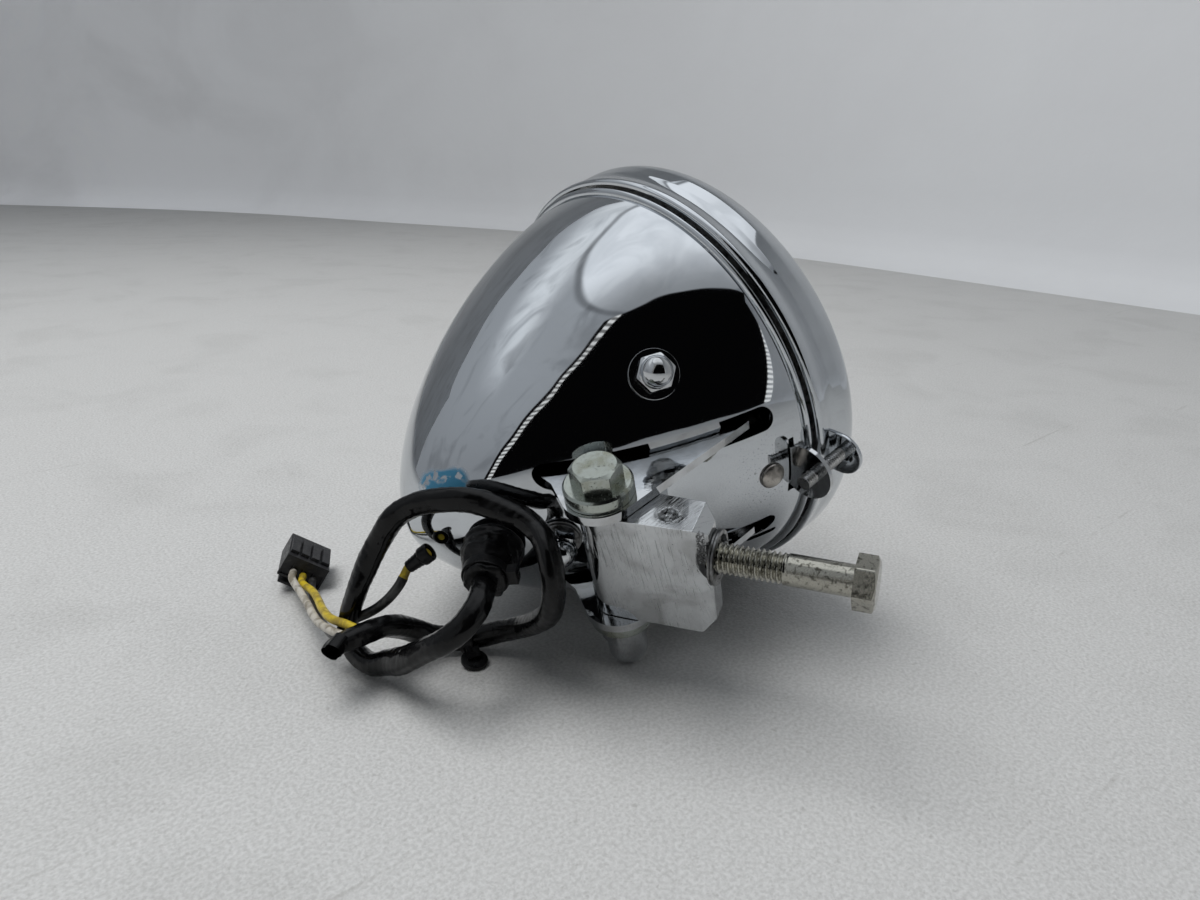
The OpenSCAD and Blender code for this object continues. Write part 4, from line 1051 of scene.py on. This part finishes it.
# %% Pivot bolt, its washers and its long nut
bm = bmesh.new()
add_hex(bm, BIG_FLAT, HEAD_HEIGHT, ON_PIVOT @ shift(0, 0, -27.9) @ turn(12, "Z") @ turn(180, "X"), 0.93)
add_turned(bm, [(0, -28.0), (BOLT_R, -28.0), (BOLT_R, 41.5), (4.1, 42.4), (0, 42.4)], 48, ON_PIVOT)
add_piece("pivot_hex_bolt", bm, zinc, "lamp", ["pivot_bolt"], LAMP, 28)
bm = bmesh.new()
for low in (-27.9, 25.3):
    add_turned(bm, rounded_washer(BOLT_HOLE, 10.9, low, low + 4.6, 0.7), 72, ON_PIVOT, closed=True)
add_piece("pivot_washer_pair", bm, zinc, "lamp", ["pivot_washers"], LAMP, 28)
bm = bmesh.new()
add_hex(bm, BIG_FLAT, 38.4, ON_PIVOT, 0.97, 0.99, 29.9)
add_dome(bm, 6.95, 38.35, 50.9, ON_PIVOT, 0.1)
add_piece("pivot_acorn_nut", bm, small_chrome, "lamp", ["pivot_nut"], LAMP, 28)

# %% Long bolt with its thread
ON_BOLT = AT_BLOCK @ shift(0, -6, 0)
bm = bmesh.new()
add_mesh(bm, run_nodes(ROD, bolt_steel, {"Length": 62.98, "Thread From": 0.4, "Thread To": 44.6}),
         ON_BOLT @ shift(0, 0, 12.1))
add_hex(bm, BIG_FLAT, HEAD_HEIGHT, ON_BOLT @ shift(0, 0, 75.1) @ turn(20, "Z"), 0.93)
add_piece("long_mount_bolt", bm, bolt_steel, "mount", ["mount_bolt"], LAMP, 32, False)

# %% Toothed lock washer
bm = bmesh.new()
place = ON_BOLT @ shift(0, 0, 34.6)
add_turned(bm, rounded_washer(BOLT_HOLE, 8.6, 0.05, 0.85, 0.2), 60, place, closed=True)
add_turned(bm, rounded_washer(7.1, 8.5, 0.85, 1.75, 0.2), 60, place, closed=True)
add_mesh(bm, run_nodes(TEETH, dark_steel, {
    "Ring": 6.3, "Count": 14, "Length": 2.0, "Width": 1.3, "Twist": 0.5}), place @ shift(0, 0, 1.3))
add_piece("toothed_washer", bm, dark_steel, "mount", ["lock_washer"], LAMP, 28)

# %% Clamp screw and rivet
bm = bmesh.new()
screw_at = shift(7.6, 0, -87.5) @ TO_LENS
add_mesh(bm, run_nodes(ROD, plain_steel, {
    "Radius": 2.4, "Depth": 0.6, "Pitch": 1.06, "Length": 22.5, "Thread From": 0.2, "Thread To": 21.5,
    "Steps": 230, "Sides": 33}), screw_at @ shift(0, 0, -22.0))
add_turned(bm, [(0, -22), (2.0, -22)], 32, screw_at)
add_turned(bm, [(2.3, 0), (4.1, 0), (4.3, 0.2), (4.1, 2.2), (3.7, 2.9), (3.0, 3.1), (0, 3.1)], 44, screw_at)
add_piece("ring_clamp_screw", bm, plain_steel, "lamp", ["clamp_screw"], LAMP, 30, False)
bm = bmesh.new()
dome = [(4.7 * math.cos(a), 0.35 + 1.9 * math.sin(a)) for a in quarter(12, 0)]
shank = [(0, -6), (3.4, -6), (3.4, -4.5), (2.2, -4.5), (2.2, 0.05), (4.6, 0.05)]
add_turned(bm, shank + dome + [(0, 2.2)], 48, on_skin(RIVET_BACK))
add_piece("bracket_rivet", bm, rivet_steel, "lamp", ["clamp_rivet"], LAMP, 35)

# %% [markdown]
# ## Plates and blocks that the model already shapes well
# A copy of the solid is merged, its edges are rounded a little, and it takes a finish.

# %% Dress a copy of a solid
def dress(node, name, finish, body, width=0.0, crease=32):
    bm = bmesh.new()
    bm.from_mesh(frame["nodes"][node].data)
    bm.transform(Matrix.Scale(1000, 4))
    bmesh.ops.remove_doubles(bm, verts=bm.verts, dist=0.002)
    bmesh.ops.dissolve_limit(bm, angle_limit=math.radians(0.6), verts=bm.verts, edges=bm.edges)
    if width:
        soften(bm, width, 32, 2)
    return add_piece(name, bm, finish, body, [node], ROW, crease)


dress("mount_block", "chromed_block", block_chrome, "mount", 0.32)
dress("mount_bracket", "bracket_ears", small_chrome, "lamp", 0.3)
dress("clamp_bracket", "ring_clamp_bracket", small_chrome, "lamp", 0.5)
for node in ("side_studs", "rear_stud", "retaining_ring", "carrier_ring", "ring_screws", "bulb_clip"):
    dress(node, node + "_dressed", plain_steel, "lamp")
for node, finish, slot in (("gasket", rubber, "rubber"), ("bulb_boot", rubber, "rubber"),
                           ("bulb_socket", nylon, "nylon"), ("inner_lead", rubber, "rubber")):
    dress(node, node + "_dressed", finish, "lamp")

# %% [markdown]
# ## The light unit
# It is seen from the front only: a clear domed glass, a parabolic mirror and its bulb.

# %% Lens
def cap(radius, top, edge, n=26):
    """Points of a sphere's cap from its pole to a rim of this radius, as (radius, height)."""
    widest = math.asin(edge / radius)
    return [(radius * math.sin(widest * i / n), top - radius + radius * math.cos(widest * i / n))
            for i in range(n + 1)]


SPHERE = (70.2 ** 2 + 16 ** 2) / 32
bm = bmesh.new()
outside, inside = cap(SPHERE, 35.3, 70.2), cap(SPHERE, 31.1, 66.0)
rim_line = [(70.2, 17.4), (74, 17.3), (74, 12.1), (66.0, 12.1)]
add_turned(bm, outside + rim_line + inside[::-1], 192, TO_LENS)
add_piece("domed_lens", bm, clear_glass, "lamp", ["lens"], LAMP, 30)

# %% Reflector and bulb
seat = -38.71
bowl = [(r, -35.18 + r * r / 104) for r in [19 + 50 * i / 40 for i in range(41)]]
back_bowl = [(r - 1.5, z + 0.2) for r, z in bowl if r < 68.5]
bm = bmesh.new()
add_turned(bm, [(19, seat)] + bowl + [(74, 10.6), (74, 12.1), (68.4, 12.1)]
           + back_bowl[::-1] + [(17.5, seat)], 160, TO_LENS, closed=True)
add_piece("parabolic_bowl", bm, mirror, "lamp", ["reflector"], LAMP, 30)
bm = bmesh.new()
base = [(0, seat - 7), (15, seat - 7), (15, seat - 1.2), (21.5, seat - 1.2), (21.5, seat), (14, seat),
        (14, seat + 7.6), (13.6, seat + 8), (8.7, seat + 8)]
glass_dome = [(8.7 * math.cos(a), seat + 38 + 8.7 * math.sin(a)) for a in quarter(12, 0)]
add_turned(bm, base + glass_dome + [(0, seat + 46.7)], 64, TO_LENS)
for a in (0, 90, 180):
    add_box(bm, (7, -4, seat - 20), (7.8, 4, seat - 6), TO_LENS @ turn(a, "Z"))
bulb = add_piece("bulb_glass_and_base", bm, bulb_glass, "lamp", ["bulb"], LAMP, 30)
base_limit = (LAMP @ Vector((seat + 8.5, 0, 0)) - LAMP.translation).dot(ahead)
second_finish(bulb.data, plain_steel, lambda centre: (centre - LAMP.translation).dot(ahead) < base_limit)

# %% [markdown]
# ## Table, wall and room
# A pale table curves up into a pale wall. Chrome shows the whole room, so the world holds what
# the shell mirrors: a bright roof, grey sides, and the dark opening that the camera looks from.

# %% Finish of the table
f = Finish("pale_table")
speck = f.between(f.noise(560.0, 6.0, None, 0.8), 0.58, 0.74)
scuff = f.scratches((0, 0, 30), 120.0, 3.0, 0.70) + f.scratches((0, 0, 115), 150.0, 4.0, 0.72)
cloud = f.noise(2.2, 4.0)
tone = f.mix(cloud, (0.66, 0.658, 0.645), (0.60, 0.598, 0.59))
fibre = f.between(f.noise(850.0, 5.0), 0.30, 0.70)
smudge = f.between(f.noise(14.0, 6.0, None, 0.6), 0.48, 0.72)
tone = f.mix(fibre * 0.60 + smudge * 0.20, tone, (0.42, 0.417, 0.405))
tone = f.mix(speck * 0.28 + scuff * 0.30, tone, (0.26, 0.25, 0.23))
table_finish = f.done(tone, f.between(cloud, 0.3, 0.7, 0.48, 0.62), 0.0,
                      f.bump(f.noise(850.0, 5.0) * 0.6 + f.noise(120.0, 3.0), 0.5))

# %% [markdown]
# The wall's foot follows a curve round the table, and its section bends up out of the table. It
# glows a little to the camera alone, so that it comes out as bright as in the photograph.

# %% Wall
WALL_CENTRE = Vector((-800, 0, 0))
WALL_SECTION = [(-90, 0), (-60, 3), (-32, 12), (-12, 30), (0, 60), (4, 120), (4, 2400)]
plan = smooth_line([(-3500, 4800, 0), (-1500, 4000, 0), (327, 2654, 0), (900, 1750, 0), (1160, 1000, 0),
                    (1130, 200, 0), (1000, -700, 0), (700, -2200, 0)], 120)
bm = bmesh.new()
rows = []
for i, p in enumerate(plan):
    way = (plan[min(i + 1, len(plan) - 1)] - plan[max(i - 1, 0)]).normalized()
    out = Vector((-way.y, way.x, 0))
    if out.dot(p - WALL_CENTRE) < 0:
        out = -out
    rows.append([bm.verts.new(p + out * d + Vector((0, 0, h))) for d, h in WALL_SECTION])
for one, two in zip(rows, rows[1:]):
    for j in range(len(WALL_SECTION) - 1):
        bm.faces.new((one[j], two[j], two[j + 1], one[j + 1]))
bm.transform(ROW)
wall_mesh = to_mesh(bm, "wall")
wall_mesh.shade_smooth()
f = Finish("pale_wall")
patch = f.between(f.noise(3.0, 6.0, None, 0.5), 0.38, 0.76)
# Painted shade: the wall is painted darker toward +X, from 0.2 m to 1.1 m.
shade_eastward = f.between(f.node("ShaderNodeSeparateXYZ", None, {0: f.place}, 0), 0.2, 1.1)
wall_tone = f.mix(shade_eastward, (0.92, 0.93, 0.95), (0.66, 0.67, 0.68))
wall_finish = f.done(f.mix(patch * 0.6, wall_tone, (0.62, 0.625, 0.635)),
                     f.between(patch, 0, 1, 0.6, 0.7), 0.0, f.bump(f.noise(9.0, 4.0), 3.0))
f.shader.inputs["Emission Color"].default_value = (0.09, 0.092, 0.096, 1.0)
seen = f.node("ShaderNodeLightPath", None, None, "Is Camera Ray")
f.tree.links.new(seen.socket, f.shader.inputs["Emission Strength"])
wall_mesh.materials.append(wall_finish)

# %% Table
bm = bmesh.new()
bmesh.ops.create_grid(bm, x_segments=8, y_segments=8, size=6.0)
table_mesh = to_mesh(bm, "table")
table_mesh.materials.append(table_finish)
for staged in (into_scene("table", table_mesh), into_scene("wall", wall_mesh)):
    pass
print("table and wall")

# %% [markdown]
# The room is a function of the direction in which one looks. It is built from soft steps between
# one direction and the next.

# %% Directions in the room
world = bpy.data.worlds.new("studio")
bpy.context.scene.world = world
world.use_nodes = True
w = Graph(world.node_tree)
toward = w.node("ShaderNodeTexCoord", None, None, "Generated")
east, _, high = w.split(toward)


def facing_side(way):
    return w.node("ShaderNodeVectorMath", {"operation": "DOT_PRODUCT"}, {0: toward, 1: way}, "Value")


upward = facing_side((0.12, -0.06, 0.991))
print("directions for the room")

# %% [markdown]
# The camera looks from a dark opening, with a striped strip on its left and on its right.

# %% The dark opening
left_edge = facing_side((0.239, -0.965, -0.111))
top_edge = facing_side((0.467, 0.762, 0.448))
opening = (w.between(left_edge, -0.004, 0.006) * w.between(-top_edge, -0.004, 0.01)
           * w.between(east, 0.256, 0.264, 1.0, 0.0) * w.between(high, -0.05, -0.01))
hatch = w.math("GREATER_THAN", w.math("SINE", (high + east * 0.4) * 190.0), 0.0) * 0.75 + 0.2
left_strip = (w.between(left_edge, 0.030, 0.034) * w.between(left_edge, 0.072, 0.076, 1.0, 0.0)
              * hatch * opening)
below = w.between(high, -0.05, 0.75, 0.075, 0.02)
right_strip = (w.between(east, 0.252, 0.256) * w.math("LESS_THAN", east, below + 0.262)
               * w.between(-top_edge, 0.0, 0.02) * w.between(high, -0.05, 0.0)) * hatch
print("opening and its striped strips")

# %% [markdown]
# The walls are grey, streaked, and crossed by one ray of light. The roof glows above them, and a
# darker line runs along its edge.

# %% Walls and roof
ROOF_FROM = 0.838
roof = w.between(upward, ROOF_FROM, 0.856)
streak = w.node("ShaderNodeTexNoise", None, {
    "Vector": toward, "Scale": 3.2, "Detail": 6.0, "Distortion": 1.2})
walls = w.mix(w.between(high, -0.1, 0.9), (0.29, 0.305, 0.325), (0.43, 0.455, 0.485))
ray = w.between(w.math("ABSOLUTE", facing_side((-0.1295, 0.9167, -0.3787)) - 0.20), 0.03, 0.24, 1.0, 0.0)
aloft = w.between(upward, 0.40, 0.70)
walls = w.mix(ray * aloft * w.between(streak, 0.20, 0.55), walls, (0.94, 0.98, 1.02))
walls = w.mix(w.between(streak, 0.50, 0.70) * 0.5, walls, (0.16, 0.17, 0.185))
edge = w.between(w.math("ABSOLUTE", upward - ROOF_FROM), 0.004, 0.02, 1.0, 0.0)
walls = w.mix(edge * 0.55, walls, (0.08, 0.085, 0.095))
glow = w.mix(w.between(streak, 0.4, 0.65), (1.08, 1.12, 1.17), (0.92, 0.96, 1.01))
glow = w.mix(w.between(top_edge, 0.0, 0.50, 0.80, 0.0), glow, (0.16, 0.17, 0.18))
tone = w.mix(roof, walls, glow)
tone = w.mix(opening, tone, (0.0018, 0.0018, 0.002))
tone = w.mix(w.math("MAXIMUM", left_strip, right_strip), tone, (1.0, 1.0, 0.98))
light_path = w.node("ShaderNodeLightPath", None, None, "Is Camera Ray")
tone = w.mix(light_path, tone, (0.42, 0.43, 0.445))
background = world.node_tree.nodes["Background"]
world.node_tree.links.new(tone.socket, background.inputs["Color"])
background.inputs["Strength"].default_value = 1.0
print("room:", len(world.node_tree.nodes), "nodes")

# %% [markdown]
# One soft lamp above gives the shadows. It is hidden from the mirrors, which have the roof.

# %% One soft lamp above
lamp_data = bpy.data.lights.new("soft_top", "AREA")
lamp_data.shape, lamp_data.size, lamp_data.size_y = "RECTANGLE", 1.2, 0.8
lamp_data.energy = 17.0
top_lamp = bpy.data.objects.new("soft_top", lamp_data)
top_lamp.location = (-0.35, 0.45, 1.5)
top_lamp.rotation_euler = (-Vector(top_lamp.location)).to_track_quat("-Z", "Y").to_euler()
top_lamp.visible_glossy = False
bpy.context.scene.collection.objects.link(top_lamp)
bpy.context.scene.view_settings.view_transform = "Standard"
print("lamp of", lamp_data.energy, "W")
